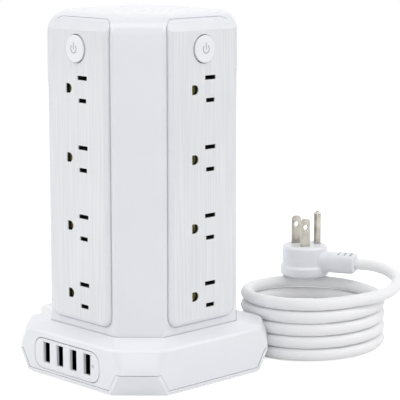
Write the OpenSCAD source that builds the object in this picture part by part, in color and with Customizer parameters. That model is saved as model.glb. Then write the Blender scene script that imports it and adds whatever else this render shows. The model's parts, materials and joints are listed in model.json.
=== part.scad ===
// Tower power strip: an eight-sided column of outlets on a wide base, with USB ports,
// a coiled cord and its plug.
// Lengths are in millimetres. The tower stands on z = 0 with its axis on x = y = 0. The USB side faces -Y.

/* [Tower column] */
// Width of the column across its flat sides
column_w = 96; // [90:1:130]
// Leg of the cut at each column corner
column_leg = 19.6; // [12:0.2:28]
// Rounding of the column's upright edges
column_edge_r = 2.5; // [1:0.1:4]
// Wall of the column shell
column_wall = 2.4; // [1.6:0.1:3.2]
// Rounding where the sides run into the roof
column_top_r = 11.5; // [6:0.5:16]
// Growth of the corner rounding from the sides to the flat of the roof
column_roof_soften = 8; // [0:0.5:12]
// Full height of the tower
tower_h = 210.5; // [180:0.5:260]
// Thickness of the roof
roof_t = 3; // [2:0.1:5]
// Radius of the screw posts at the foot of the column
column_post_r = 4; // [3:0.1:5]
// Height of the screw posts in the column
column_post_h = 15; // [8:0.5:25]
// Distance of the column's screws from its corner faces
column_screw_in = 7.5; // [6:0.1:9]
// Width of the web that ties a post to the wall
column_web_w = 5; // [3:0.5:7]

/* [Base] */
// How far the base's sides stand out past the column's
base_out = 11.2; // [9:0.1:30]
// Leg of the cut at each base corner
base_leg = 15.4; // [10:0.2:24]
// Extra leg of the corner cut at the base's top edge
base_leg_gain = 4.2; // [0:0.2:8]
// Rounding of the base's upright edges
base_edge_r = 4; // [2:0.2:6]
// Wall of the base cover
base_wall = 2.6; // [1.8:0.1:3.6]
// Wall left at the four corners of the base cover
corner_wall = 8; // [7.6:0.2:11]
// Height of the sharp line where base side and base top would meet
base_edge_z = 27; // [24:0.5:32]
// Rounding along the base's top edge
base_round = 2.2; // [1:0.1:4]
// Height of the base top where it meets the column
base_joint_z = 30.3; // [28:0.1:36]
// Depth of the seat that the column stands in
seat_depth = 1.2; // [0.6:0.1:2]
// Thickness of the base cover's top inside
base_top_t = 2.8; // [2:0.1:4]
// Distance of the wire opening's rim from the column's flat sides
wire_opening_in = 10; // [8:0.5:18]
// Thickness of the bottom plate
bottom_t = 1.8; // [1.4:0.1:3]
// Height of the upturned corner tabs above the plate's underside
tab_h = 11.9; // [8:0.1:14]
// How far a corner tab leans in at its foot
tab_lean = 5; // [2:0.1:6]
// Thickness of a corner tab
tab_t = 1.6; // [1.2:0.1:2]
// Distance of the base screws from the base's corner faces
base_screw_in = 15.8; // [13:0.1:16]
// Radius of the screw posts in the base cover
base_post_r = 4; // [3:0.1:5]

/* [Feet and screws] */
// Radius of a rubber foot
foot_r = 5; // [3:0.1:7]
// Thickness of a rubber foot
foot_t = 2; // [1.5:0.1:3]
// How far the feet stand out below the bottom plate
foot_out = 1; // [0.5:0.1:1.5]
// Distance of the feet from the base's corner faces
foot_in = 26.8; // [25:0.1:36]
// Shank radius of a screw
screw_r = 1.5; // [1:0.05:2]
// Head radius of a screw
screw_head_r = 2.8; // [2.2:0.1:3.4]
// Head height of a screw
screw_head_h = 1.2; // [0.8:0.1:1.3]
// Length of a screw under its head
screw_l = 10; // [6:0.5:14]
// Width of the cross cut in a screw head
screw_cross_w = 0.9; // [0.5:0.1:1.2]

/* [Face plates] */
// Strip of the column's flat side left bare on each side of a face plate
plate_side_gap = 2.8; // [2:0.1:6]
// How far a face plate stands out from the column
plate_out = 2.5; // [1.5:0.1:4]
// Width of the rolled edge round a plate's front
plate_bevel = 2.6; // [1.4:0.1:3]
// Straight lip at the foot of that roll
plate_lip = 0.4; // [0.2:0.1:1]
// Corner radius of a plate
plate_corner_r = 6; // [3:0.5:8]
// Height of a plate's lower edge
plate_z0 = 35; // [33:0.5:40]
// Drop from the top of the tower to a plate's upper edge
plate_top_drop = 4.2; // [3:0.1:8]
// Height of the slope at the top of a plate's front
plate_slope_h = 4.8; // [3:0.1:6]
// Thickness of a plate's upper edge
plate_top_lip = 0.6; // [0.4:0.1:1.2]
// Extra radius of a plate's back where it follows the column's shoulder
plate_back_ease = 1.5; // [0.5:0.1:3]
// Thickness of a plate in front of an outlet
plate_skin = 0.7; // [0.5:0.1:1]

/* [Outlets] */
// Number of outlets on each side
outlet_count = 4; // [2:1:4]
// Distance from a block's lower end to the middle of the lowest outlet
outlet_foot = 12.7; // [12:0.1:14]
// Distance from the middle of the highest outlet to the block's upper end
outlet_head = 12.55; // [12:0.05:14]
// Sideways place of the blade slots
slot_u = 5; // [3:0.1:7]
// Distance between the two blade slots of an outlet
blade_gap = 12.7; // [12.7:0.1:12.7]
// Distance from the line of the blade slots to the ground hole
ground_gap = 11.9; // [11.9:0.1:11.9]
// Width of the neutral slot
neutral_slot_w = 8.2; // [7.8:0.1:8.6]
// Width of the live slot
live_slot_w = 6.6; // [6.5:0.1:7.2]
// Height of a blade slot
slot_h = 2.4; // [2:0.1:2.8]
// Radius of the round side of the ground hole
ground_hole_r = 2.7; // [2.5:0.1:3]
// Distance from the middle of that round side to the ground hole's flat side
ground_flat = 2.2; // [1.8:0.1:2.4]
// Overlap of a face plate's side past the outlet block behind it
block_side_gap = 4.9; // [4:0.1:6]
// Distance from an outlet block's upper end to the middle of the button
block_top_gap = 10; // [9.8:0.1:12]
// Height of an outlet block's lower end
block_z0 = 38; // [37:0.5:40]
// Depth of an outlet block
block_d = 20; // [16:0.5:22]
// Thickness of the block's front wall at an outlet
block_front = 1.8; // [1.6:0.1:2.4]
// Plastic around the holes on an outlet's boss
boss_edge = 2; // [1.6:0.1:2.4]
// How far the block's flange reaches past the window
flange_over = 2.8; // [1.5:0.1:4]
// Thickness of the block's flange
flange_t = 2; // [1:0.1:3]

/* [Contacts] */
// Thickness of the contact metal
contact_t = 0.8; // [0.5:0.05:1]
// Width of a contact leaf
leaf_w = 6; // [5:0.1:6.4]
// Gap between the two leaves of a contact
leaf_gap = 1.7; // [1.6:0.05:2]
// Depth of the contact strips behind the column's face
strip_depth = 16; // [12:0.1:17]
// Width of a contact strip
strip_w = 3; // [2:0.1:4]
// Sideways place of the neutral strip
neutral_strip_u = 10; // [9.5:0.1:12]
// Sideways place of the live strip
live_strip_u = -0.6; // [-1:0.1:0]
// How far neutral and earth strips reach out below their block
strip_tail = 4; // [2:0.1:6]
// Inside radius of a ground sleeve
sleeve_r = 2.5; // [2.45:0.01:2.6]
// Wall of a ground sleeve
sleeve_t = 0.6; // [0.4:0.05:0.8]
// Width of the slit in a ground sleeve
sleeve_slit = 1; // [0.5:0.1:2]

/* [Power buttons] */
// Radius of a power button
button_r = 7.8; // [6:0.1:8]
// How far a button stands out from its face plate
button_out = 1.8; // [1:0.1:3]
// Height of the button's crown
button_crown = 0.5; // [0.2:0.1:1]
// Rounding of the button's rim
button_rim_r = 0.9; // [0.4:0.1:1.2]
// Drop from the top of the tower to the middle of a button
button_drop = 19.5; // [19:0.1:22]
// Travel of a button
button_travel = 1.5; // [1:0.1:1.8]
// Width of a button's stem
stem_w = 4; // [3:0.1:5]
// Length of a button's stem
stem_l = 7; // [5:0.1:9]
// Width of a switch body
switch_w = 20; // [18:0.5:24]
// Height of a switch body
switch_h = 16.6; // [15:0.1:18]
// Depth of a switch body
switch_d = 21.6; // [20:0.1:24]
// Size of a switch terminal
terminal_w = 1.6; // [1:0.1:2]
// Length of a switch terminal
terminal_l = 2; // [1:0.1:3]

/* [USB ports] */
// Width of the USB panel
usb_w = 57; // [50:0.5:62]
// Height of the USB panel
usb_h = 17.5; // [15:0.1:18]
// Corner radius of the USB panel
usb_corner_r = 6.5; // [3:0.1:7]
// Sideways place of the USB panel
usb_u = -1.5; // [-4:0.1:4]
// Height of the USB panel's middle
usb_z = 13.5; // [12:0.1:14]
// How far the panel's flange reaches past the opening
usb_flange_over = 0.7; // [0.5:0.1:0.9]
// Thickness of that flange
usb_flange_t = 1.5; // [1:0.1:2]
// Number of USB ports
usb_count = 4; // [1:1:4]
// Spacing of the ports
usb_pitch = 12; // [10:0.1:13]
// Sideways place of the middle of the row of ports
usb_row_u = -1.7; // [-4:0.1:4]
// Height of the ports' middle
usb_row_z = 14.2; // [13:0.1:15]
// Width of the inside of a port
port_w = 5.12; // [5.12:0.01:5.12]
// Height of the inside of a port
port_h = 12.5; // [12.5:0.1:12.5]
// How far the ports' metal shells lie behind the panel's face
port_recess = 2.1; // [1.6:0.1:3]
// Sheet thickness of a port's metal shell
port_t = 0.3; // [0.2:0.05:0.4]
// Length of a port's metal shell
port_l = 13; // [10:0.5:14]
// Extra width of a panel opening over the inside of its port
port_mouth = 0.6; // [0:0.05:0.7]
// How much less high a panel opening is than the inside of its port
port_sill = 0.4; // [0:0.05:0.5]
// Thickness of a port's tongue
tongue_t = 1.84; // [1.84:0.01:1.84]
// Width of a port's tongue
tongue_w = 11.1; // [11:0.1:11.2]
// How far the tongue ends behind the mouth of its shell
tongue_back = 1; // [0.5:0.1:2]
// Shift of the tongue towards one side of its port
tongue_shift = 0.9; // [0.5:0.05:1.2]
// Thickness of the insulator behind a tongue
insulator_t = 2; // [1:0.1:3]
// Gap between the USB board's end and the screw post beside it
usb_board_gap = 4.3; // [1:0.1:6]
// Height of the USB board
usb_board_h = 19; // [16:0.5:20]
// Diameter of the lamp window
lamp_w = 1.5; // [1:0.1:2]
// Distance from the USB panel's end to the middle of the lamp window
lamp_in = 5.2; // [4:0.1:6]

/* [Boards and wires] */
// Thickness of the circuit boards
board_t = 1.6; // [1:0.1:2]
// Distance of the surge board's edges from the column's flat sides
surge_in = 12; // [10:0.5:15]
// Height of the pillars under the surge board
pillar_h = 5.2; // [3:0.1:8]
// Radius of those pillars
pillar_r = 3; // [2:0.1:4]
// Distance of the pillars from the board's edges
pillar_in = 6; // [4:0.5:12]
// Radius of a surge absorber
varistor_r = 7; // [4:0.1:7.2]
// Thickness of a surge absorber
varistor_t = 4.5; // [3:0.1:6]
// Spacing of the surge absorbers
varistor_pitch = 9; // [7:0.5:12]
// Number of surge absorbers
varistor_count = 3; // [1:1:3]
// Radius of an insulated wire
wire_r = 1.3; // [0.8:0.1:1.4]
// Width of the terminal block
terminal_block_w = 14; // [12:0.5:18]
// Depth of the terminal block
terminal_block_d = 7; // [5:0.5:9]
// Height of the terminal block
terminal_block_h = 8; // [6:0.5:10]
// How far the terminal block stands out past the surge board's edge
terminal_block_out = 4.6; // [4.5:0.1:5.5]

/* [Cord and plug] */
// Diameter of the cord
cord_d = 7.2; // [6:0.1:9]
// Climb of the coil in one turn
coil_pitch = 7.7; // [7.7:0.1:10]
// Radius of the coil to the middle of the cord
coil_r = 40.8; // [34:0.1:41]
// Place of the coil's middle across the tower
coil_x = 38.8; // [34:0.1:44]
// Gap between the coil and the back of the base
coil_gap = 1.2; // [1:0.1:16]
// Height of the cord where it leaves the base
exit_z = 14; // [12:0.5:15]
// Place of the cord exit along the base's left side
exit_y = 6; // [0:0.5:10]
// Length of the strain relief outside the base
gland_l = 24; // [20:0.5:36]
// Radius of the strain relief at the base
gland_root_r = 6.4; // [5.6:0.1:8]
// Radius of the strain relief at its tip
gland_tip_r = 4.5; // [4:0.1:5]
// Radius of the strain relief's flanges
gland_flange_r = 8; // [7:0.1:9]
// Thickness of the strain relief's flanges
gland_flange_t = 1.5; // [1:0.1:2]
// Number of bend grooves in the strain relief
gland_grooves = 5; // [3:1:6]
// Depth of a bend groove
gland_groove_d = 0.9; // [0.4:0.1:1.2]
// Radius of the plug's front disc
plug_r = 14.4; // [13:0.1:16]
// Radius of the plug's back disc
plug_back_r = 15.6; // [14:0.1:17]
// Thickness of the plug's back disc
plug_back_t = 6.5; // [5:0.1:8]
// Full thickness of the plug's body
plug_t = 19.5; // [17:0.1:22]
// Rounding of the plug's edges
plug_edge_r = 1.8; // [0.8:0.1:2.5]
// Distance from the plug's middle to the end of its neck
plug_reach = 34; // [30:0.5:38]
// Width of the neck at its end
neck_w = 14; // [11:0.1:16]
// Extra width of the neck where it leaves the disc
neck_flare = 5; // [0:0.5:7]
// Thickness of the neck
neck_t = 12.6; // [11:0.1:14]
// Height of the neck's underside over the plug's back
neck_lift = 3; // [2:0.1:4]
// Length of a bend slot across the neck
neck_slot_l = 10; // [8:0.1:12]
// Width of a bend slot
neck_slot_w = 1.3; // [0.8:0.1:1.6]
// Depth of a bend slot
neck_slot_d = 2.5; // [1:0.1:3]
// Spacing of the bend slots
neck_slot_pitch = 3.9; // [3:0.1:4]
// Turn of the prongs against the neck, in degrees
prong_turn = 45; // [0:5:90]
// Width of a plug blade
blade_w = 6.35; // [6.35:0.01:6.35]
// Thickness of a plug blade
blade_t = 1.5; // [1.5:0.01:1.5]
// Length of a plug blade outside the body
blade_l = 17.9; // [17:0.1:18.3]
// Slant at a blade's tip
blade_tip = 1.6; // [0.8:0.1:2]
// Radius of the hole in a blade
blade_hole_r = 1.6; // [1.4:0.1:1.8]
// Distance from a blade's tip to its hole
blade_hole_at = 5.5; // [5:0.1:7]
// Radius of the ground pin
pin_r = 2.38; // [2.38:0.01:2.38]
// Radius of the ground pin's root inside the body
pin_root_r = 1.9; // [1.5:0.1:2.2]
// Length of the ground pin outside the body
pin_l = 21; // [19:0.1:21.5]
// Depth of the blades and the pin inside the body
prong_root = 8; // [5:0.5:12]

/* [Fits] */
// Open gap between two covers that meet
seam = 0.3; // [0.15:0.05:0.5]
// Gap around a piece that sits in an opening
fit = 0.3; // [0.2:0.05:0.45]
// Small gap between metal and the plastic that holds it
snug = 0.1; // [0.05:0.01:0.2]
// Overrun of a cut past the surface it opens
over = 1; // [0.5:0.1:2]

/* [Hidden] */

$fn = 48;

// Number of flats in each rounded corner of an outline
corner_steps = 4;
// Number of steps in a plate's rolled edge
plate_steps = 5;
// Number of bend slots across the plug's neck
neck_slots = 3;
// Number of rings in a quarter-round edge
round_steps = 8;
// Share of a width kept by an offset eight-sided outline, per unit of offset
eighth_share = tan(22.5);
// Turns of the sides of the tower, in degrees
side_turn = [0, 90, 180, 270];
// Share that lies on the diagonal
diagonal_share = sqrt(0.5);

base_w = column_w + 2 * base_out;
column_half = column_w / 2;
base_half = base_w / 2;
bottom_z = foot_out;
bottom_top = bottom_z + bottom_t;
shell_z0 = bottom_top + seam;
seat_z = base_joint_z - seat_depth;
ceiling_z = seat_z - base_top_t;
base_corner_r = (base_w - base_leg) * diagonal_share;
column_corner_r = (column_w - column_leg) * diagonal_share;
base_screw_at = base_corner_r - base_screw_in;
column_screw_at = column_corner_r - column_screw_in;
foot_at = base_corner_r - foot_in;
wire_opening_r = column_half - wire_opening_in;
tab_z = bottom_z + tab_h;
tab_tan = tab_lean / tab_h;
tab_slab = tab_t / cos(atan(tab_tan));
plate_w = column_w - 2 * (column_leg + plate_side_gap);
plate_half = plate_w / 2;
plate_z1 = tower_h - plate_top_drop;
plate_front_z1 = plate_z1 - plate_slope_h;
button_z = tower_h - button_drop;
block_w = plate_w - 2 * block_side_gap;
block_h = button_z - block_top_gap - block_z0;
window_w = block_w + 2 * fit;
window_h = block_h + 2 * fit;
blade_half = blade_gap / 2;
ground_u = slot_u - ground_gap;
outlet_z = block_z0 + outlet_foot;
outlet_pitch = (block_h - outlet_foot - outlet_head) / (outlet_count - 1);
outlet_last_z = outlet_z + (outlet_count - 1) * outlet_pitch;
boss_out = plate_out - plate_skin - fit;
pocket_front = column_half + boss_out - block_front;
contact_front = pocket_front - fit;
block_back = column_half - block_d;
strip_r = column_half - strip_depth;
switch_front = column_half - column_wall;
switch_back = switch_front - switch_d;
surge_w = column_w - 2 * surge_in;
pillar_at = surge_w / 2 - pillar_in;
surge_z = bottom_top + pillar_h;
surge_top = surge_z + board_t;
usb_inner = base_half - base_wall;
usb_board_w = 2 * (base_screw_at * diagonal_share - base_post_r - abs(usb_u) - usb_board_gap);
lamp_r = lamp_w / 2;
lamp_u = usb_u + usb_w / 2 - lamp_in;
port_front = base_half - port_recess;
port_back = port_front - port_l;
cord_r = cord_d / 2;
coil_y = base_half + coil_gap + coil_r + cord_r;
cord_z = cord_r + cord_r * (1 - cos(15));
plug_neck_z = neck_lift + neck_t / 2;

// Points of an arc about a middle point
function arc(cx, cy, r, from, to, steps) =
    [for (i = [0 : steps])
        let (a = from + (to - from) * i / steps) [cx + r * cos(a), cy + r * sin(a)]];

// Outline with eight rounded corners, counter-clockwise from the middle of the +X side
function eight(half, leg, r) = [
    for (q = side_turn)
        for (c = [0, 1])
            for (p = arc(c == 0 ? half - r : half - leg - r * eighth_share,
                         c == 0 ? half - leg - r * eighth_share : half - r,
                         r, 45 * c, 45 * c + 45, corner_steps))
                [p[0] * cos(q) - p[1] * sin(q), p[0] * sin(q) + p[1] * cos(q)]];

// The same outline lifted to a height
function eight_at(half, leg, r, z) = [for (p = eight(half, leg, r)) [p[0], p[1], z]];

// Leg of an eight-sided outline after its sides move in
function leg_in(leg, inset) = leg - inset * (2 - sqrt(2));

// Upright outline with four rounded corners, seen from the front
function panel(u0, u1, z0, z1, r, y) = [
    for (p = concat(arc(u1 - r, z1 - r, r, 0, 90, corner_steps),
                    arc(u0 + r, z1 - r, r, 90, 180, corner_steps),
                    arc(u0 + r, z0 + r, r, 180, 270, corner_steps),
                    arc(u1 - r, z0 + r, r, 270, 360, corner_steps)))
        [p[0], y, p[1]]];

// Solid through a list of rings with equal numbers of points
module loft(rings) {
    n = len(rings[0]);
    m = len(rings);
    polyhedron(
        points = [for (r = rings) for (p = r) p],
        faces = concat(
            [[for (i = [0 : n - 1]) i]],
            [[for (i = [n - 1 : -1 : 0]) (m - 1) * n + i]],
            [for (k = [0 : m - 2]) for (i = [0 : n - 1])
                [k * n + i, (k + 1) * n + i, (k + 1) * n + (i + 1) % n]],
            [for (k = [0 : m - 2]) for (i = [0 : n - 1])
                [k * n + i, (k + 1) * n + (i + 1) % n, k * n + (i + 1) % n]]),
        convexity = 8);
}

function unit(v) = v / norm(v);
function flat_side(t) = unit(cross(t, [0, 0, 1]));

// Ring of a tube about a point, square to its direction
function tube_ring(p, t, r, sides) =
    let (s = flat_side(t), u = cross(s, t))
    [for (j = [0 : sides - 1])
        let (a = 360 * (j + 0.5) / sides)
        p + r * cos(a) * s - r * sin(a) * u];

// Direction of a path at one of its points
function path_dir(path, i) = unit(path[min(i + 1, len(path) - 1)] - path[max(i - 1, 0)]);

// Tube along a path
module tube(path, r, sides) {
    loft([for (i = [0 : len(path) - 1]) tube_ring(path[i], path_dir(path, i), r, sides)]);
}

// Things drawn for the front side, turned to another side
module side(k) {
    rotate([0, 0, side_turn[k]]) children();
}

// Outline in the side's own plane, run outwards from a distance to another
module outwards(from, to) {
    translate([0, -from, 0]) rotate([90, 0, 0]) linear_extrude(to - from) children();
}

// Box in the side's own directions: sideways, outwards and up
module side_box(u0, u1, from, to, z0, z1) {
    translate([u0, -to, z0]) cube([u1 - u0, to - from, z1 - z0]);
}

// Round bar in the side's own directions, pointing outwards
module side_round(u, z, r, from, to) {
    translate([u, -from, z]) rotate([90, 0, 0]) cylinder(r = r, h = to - from);
}

// Half-space beyond a leaning corner plane, as a wedge on the diagonal between two sides
module corner_wedge(k, inset, z_top) {
    reach = base_half;
    rotate([0, 0, side_turn[k] - 45 + 90]) rotate([90, 0, 0])
        translate([0, 0, -reach]) linear_extrude(2 * reach)
            polygon([[base_corner_r - inset + (z_top - tab_z) * tab_tan, z_top],
                     [base_corner_r - inset - (tab_z + over) * tab_tan, -over],
                     [base_corner_r + reach, -over],
                     [base_corner_r + reach, z_top]]);
}

// Base

// Outline of the column with an open seam around it
function column_seat(z) =
    eight_at(column_half + seam, leg_in(column_leg, -seam), column_edge_r + seam, z);

function base_rings(z0) = concat(
    [eight_at(base_half, base_leg, base_edge_r, z0)],
    [for (i = [0 : corner_steps])
        let (s = i / corner_steps)
        eight_at(base_half, base_leg + base_leg_gain * s * s, base_edge_r * (1 + 2 * s),
                 tab_z + (base_edge_z - base_round - tab_z) * s)],
    [for (i = [1 : round_steps])
        let (a = 80 * i / round_steps, inset = base_round * (1 - cos(a)))
        eight_at(base_half - inset, leg_in(base_leg + base_leg_gain, inset), 3 * base_edge_r - inset,
                 base_edge_z - base_round * (1 - sin(a)))],
    [column_seat(base_joint_z)]);

module base_solid(z0) {
    loft(base_rings(z0));
}

module base_hollow() {
    leg = base_leg - 2 * base_wall + 2 * corner_wall * diagonal_share;
    loft([eight_at(usb_inner, leg, base_edge_r, -over),
          eight_at(usb_inner, leg, base_edge_r, base_edge_z - base_wall),
          eight_at(column_half, leg_in(leg, usb_inner - column_half), base_edge_r, ceiling_z)]);
}

module base_bottom() {
    color("#e9eaec")
    difference() {
        intersection() {
            base_solid(bottom_z);
            translate([-base_half, -base_half, 0]) cube([base_w, base_w, tab_z]);
        }
        for (k = [0 : 3]) corner_wedge(k, 0, tab_z + over);
        difference() {
            translate([-base_half, -base_half, bottom_top]) cube([base_w, base_w, tab_h]);
            for (k = [0 : 3]) corner_wedge(k, tab_slab, tab_z + 2 * over);
            for (k = [0 : 3]) rotate([0, 0, side_turn[k]])
                translate([pillar_at, pillar_at, 0]) cylinder(r = pillar_r, h = surge_z);
        }
        for (k = [0 : 3]) rotate([0, 0, side_turn[k] + 45]) {
            translate([foot_at, 0, -over]) cylinder(r = foot_r + fit, h = over + foot_t);
            translate([base_screw_at, 0, -over]) cylinder(r = screw_r + fit, h = bottom_top + 2 * over);
            translate([base_screw_at, 0, -over])
                cylinder(r = screw_head_r + fit, h = over + bottom_z + screw_head_h);
        }
    }
}

module base_shell() {
    color("#f1f1f3")
    difference() {
        union() {
            difference() {
                base_solid(shell_z0);
                base_hollow();
                for (k = [0 : 3]) corner_wedge(k, tab_slab + seam, tab_z + seam);
            }
            for (k = [0 : 3]) rotate([0, 0, side_turn[k] + 45])
                translate([base_screw_at, 0, bottom_top])
                    cylinder(r = base_post_r, h = ceiling_z + base_top_t / 2 - bottom_top);
        }
        // Seat of the column and wire opening
        loft([column_seat(seat_z), column_seat(base_joint_z + over)]);
        translate([0, 0, shell_z0]) cylinder(r = wire_opening_r, h = tower_h);
        for (k = [0 : 3]) rotate([0, 0, side_turn[k] + 45]) {
            translate([base_screw_at, 0, 0])
                cylinder(r = screw_r + snug, h = bottom_z + screw_head_h + screw_l + over);
            translate([column_screw_at, 0, shell_z0]) cylinder(r = screw_r + fit, h = base_joint_z);
        }
        // Opening for the USB panel
        outwards(usb_inner - over, base_half + over)
            polygon([for (p = usb_outline(fit, 0)) [p[0], p[2]]]);
        // Hole for the cord's strain relief
        translate([-base_half - over, exit_y, exit_z]) rotate([0, 90, 0])
            cylinder(r = gland_root_r + fit, h = base_wall + 2 * over);
    }
}

// Column

function column_rings(z0) = concat(
    [eight_at(column_half, column_leg, column_edge_r, z0)],
    [for (i = [0 : round_steps])
        let (a = 90 * i / round_steps, inset = column_top_r * (1 - cos(a)))
        eight_at(column_half - inset, leg_in(column_leg, inset),
                 column_edge_r + column_roof_soften * (1 - cos(a)),
                 tower_h - column_top_r * (1 - sin(a)))]);

module column_shell() {
    inner = column_half - column_wall;
    inner_leg = leg_in(column_leg, column_wall);
    roof_in = column_top_r - roof_t;
    color("#f4f4f6")
    difference() {
        union() {
            difference() {
                loft(column_rings(seat_z));
                loft([eight_at(inner, inner_leg, column_edge_r, seat_z - over),
                      eight_at(inner, inner_leg, column_edge_r, tower_h - column_top_r + seam),
                      eight_at(inner - roof_in / 2, leg_in(inner_leg, roof_in / 2), column_edge_r,
                               tower_h - roof_t - roof_in / 4),
                      eight_at(inner - roof_in, leg_in(inner_leg, roof_in), column_edge_r,
                               tower_h - roof_t)]);
            }
            for (k = [0 : 3]) rotate([0, 0, side_turn[k] + 45]) {
                translate([column_screw_at, 0, seat_z]) cylinder(r = column_post_r, h = column_post_h);
                translate([column_screw_at, -column_web_w / 2, seat_z])
                    cube([(column_w - column_leg) * diagonal_share - column_screw_at - column_wall / 2,
                          column_web_w, column_post_h]);
            }
        }
        for (k = [0 : 3]) rotate([0, 0, side_turn[k] + 45])
            translate([column_screw_at, 0, seat_z - over]) cylinder(r = screw_r + snug, h = over + screw_l);
        for (k = [0 : 3]) side(k) {
            side_box(-window_w / 2, window_w / 2, column_half - column_wall - over, column_half + over,
                     block_z0 - fit, block_z0 - fit + window_h);
            side_round(0, button_z, button_r + fit, column_half - column_wall - over, column_half + over);
        }
    }
}

// Face plates

function shoulder_out(z) =
    let (r = column_top_r + plate_back_ease, h = z - (tower_h - column_top_r))
    h <= 0 ? 0 : sqrt(r * r - h * h) - r;

module face_plate(k) {
    shoulder_z = tower_h - column_top_r;
    back = column_half + shoulder_out(plate_z1) - over;
    z1 = plate_z1 + over;
    color("#e4e5e6")
    side(k)
    difference() {
        intersection() {
            loft([panel(-plate_half, plate_half, plate_z0, z1, plate_corner_r, -back),
                  for (i = [0 : plate_steps])
                      let (a = 90 * i / plate_steps, inset = plate_bevel * (1 - cos(a)))
                      panel(-plate_half + inset, plate_half - inset, plate_z0 + inset, z1 - inset,
                            plate_corner_r - inset,
                            -(column_half + plate_lip + (plate_out - plate_lip) * sin(a)))]);
            translate([-plate_w, 0, 0]) rotate([90, 0, 90]) linear_extrude(2 * plate_w)
                polygon(concat(
                    [[-(column_half + plate_out + over), plate_z0 - over],
                     [-(column_half + plate_out + over), plate_front_z1 - over],
                     [-(column_half + plate_out), plate_front_z1],
                     [-(column_half + shoulder_out(plate_z1) + plate_top_lip), plate_z1]],
                    [for (i = [0 : round_steps])
                        let (z = plate_z1 + (shoulder_z - plate_z1) * i / round_steps)
                        [-(column_half + shoulder_out(z)), z]],
                    [[-column_half, plate_z0 - over]]));
        }
        for (i = [0 : outlet_count - 1]) {
            outlet_holes(outlet_z + i * outlet_pitch, column_half - over, column_half + plate_out + over, 0);
            outlet_boss(outlet_z + i * outlet_pitch, column_half - over, column_half + boss_out + fit, fit);
        }
        side_round(0, button_z, button_r + fit, column_half - over, column_half + plate_out + over);
    }
}

// Two blade slots and a ground hole
module outlet_holes(z, from, to, wider) {
    side_box(slot_u - neutral_slot_w / 2 - wider, slot_u + neutral_slot_w / 2 + wider, from, to,
             z + blade_half - slot_h / 2 - wider, z + blade_half + slot_h / 2 + wider);
    side_box(slot_u - live_slot_w / 2 - wider, slot_u + live_slot_w / 2 + wider, from, to,
             z - blade_half - slot_h / 2 - wider, z - blade_half + slot_h / 2 + wider);
    outwards(from, to)
        polygon(concat(arc(ground_u, z, ground_hole_r + wider, -90, 90, 3 * corner_steps),
                       [[ground_u - ground_flat - wider, z + ground_hole_r + wider],
                        [ground_u - ground_flat - wider, z - ground_hole_r - wider]]));
}

// Block around the holes of one outlet
module outlet_boss(z, from, to, wider) {
    edge = boss_edge + wider;
    side_box(ground_u - ground_hole_r - edge, slot_u + neutral_slot_w / 2 + edge, from, to,
             z - blade_half - slot_h / 2 - edge, z + blade_half + slot_h / 2 + edge);
}

// Outlet blocks and contacts

module outlet_block(k) {
    pocket_h = leaf_gap + 2 * contact_t + 2 * fit;
    sleeve_room = sleeve_r + sleeve_t + fit;
    last = outlet_last_z;
    flange_w = window_w + 2 * flange_over;
    flange_back = switch_front - flange_t;
    color("#1c1c1e")
    side(k)
    difference() {
        union() {
            side_box(-block_w / 2, block_w / 2, block_back, column_half, block_z0, block_z0 + block_h);
            side_box(-flange_w / 2, flange_w / 2, flange_back, switch_front, block_z0 + fit - flange_over / 2,
                     block_z0 + block_h - fit);
            for (i = [0 : outlet_count - 1])
                outlet_boss(outlet_z + i * outlet_pitch, column_half - over, column_half + boss_out, 0);
        }
        for (i = [0 : outlet_count - 1]) {
            z = outlet_z + i * outlet_pitch;
            outlet_holes(z, pocket_front - over, column_half + boss_out + over, snug);
            side_box(slot_u - leaf_w / 2 - fit, neutral_strip_u + strip_w / 2 + fit,
                     block_back - over, pocket_front,
                     z + blade_half - pocket_h / 2, z + blade_half + pocket_h / 2);
            side_box(live_strip_u - strip_w / 2 - fit, slot_u + leaf_w / 2 + fit,
                     block_back - over, pocket_front,
                     z - blade_half - pocket_h / 2, z - blade_half + pocket_h / 2);
            side_box(ground_u - sleeve_room, ground_u + sleeve_room, block_back - over, pocket_front,
                     z - sleeve_room, z + sleeve_room);
        }
        strip_channel(neutral_strip_u, block_z0 - over, last + blade_half + pocket_h / 2);
        strip_channel(live_strip_u, outlet_z - blade_half - pocket_h / 2, block_z0 + block_h + over);
        strip_channel(ground_u, block_z0 - over, last + sleeve_r + fit);
    }
}

// Groove in the back of a block for one strip
module strip_channel(u, z0, z1) {
    side_box(u - strip_w / 2 - fit, u + strip_w / 2 + fit, block_back - over, strip_r + fit, z0, z1);
}

// Two leaves that grip a blade, joined at the back
module leaf_pair(u0, u1, z) {
    for (s = [-1, 1])
        translate([0, 0, s * (leaf_gap + contact_t) / 2])
            side_box(slot_u - leaf_w / 2, slot_u + leaf_w / 2, strip_r - contact_t, contact_front,
                     z - contact_t / 2, z + contact_t / 2);
    side_box(u0, u1, strip_r - contact_t, strip_r,
             z - leaf_gap / 2 - contact_t, z + leaf_gap / 2 + contact_t);
}

module neutral_strip(k) {
    last = outlet_last_z + blade_half;
    color("#c8a24a")
    side(k)
    union() {
        for (i = [0 : outlet_count - 1])
            leaf_pair(slot_u - leaf_w / 2, neutral_strip_u + strip_w / 2,
                      outlet_z + i * outlet_pitch + blade_half);
        side_box(neutral_strip_u - strip_w / 2, neutral_strip_u + strip_w / 2, strip_r - contact_t, strip_r,
                 block_z0 - strip_tail, last + leaf_gap / 2 + contact_t);
    }
}

module live_strip(k) {
    color("#c8a24a")
    side(k)
    union() {
        for (i = [0 : outlet_count - 1])
            leaf_pair(live_strip_u - strip_w / 2, slot_u + leaf_w / 2,
                      outlet_z + i * outlet_pitch - blade_half);
        side_box(live_strip_u - strip_w / 2, live_strip_u + strip_w / 2, strip_r - contact_t, strip_r,
                 outlet_z - blade_half - leaf_gap / 2 - contact_t, button_z - switch_h / 2 - snug);
    }
}

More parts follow.
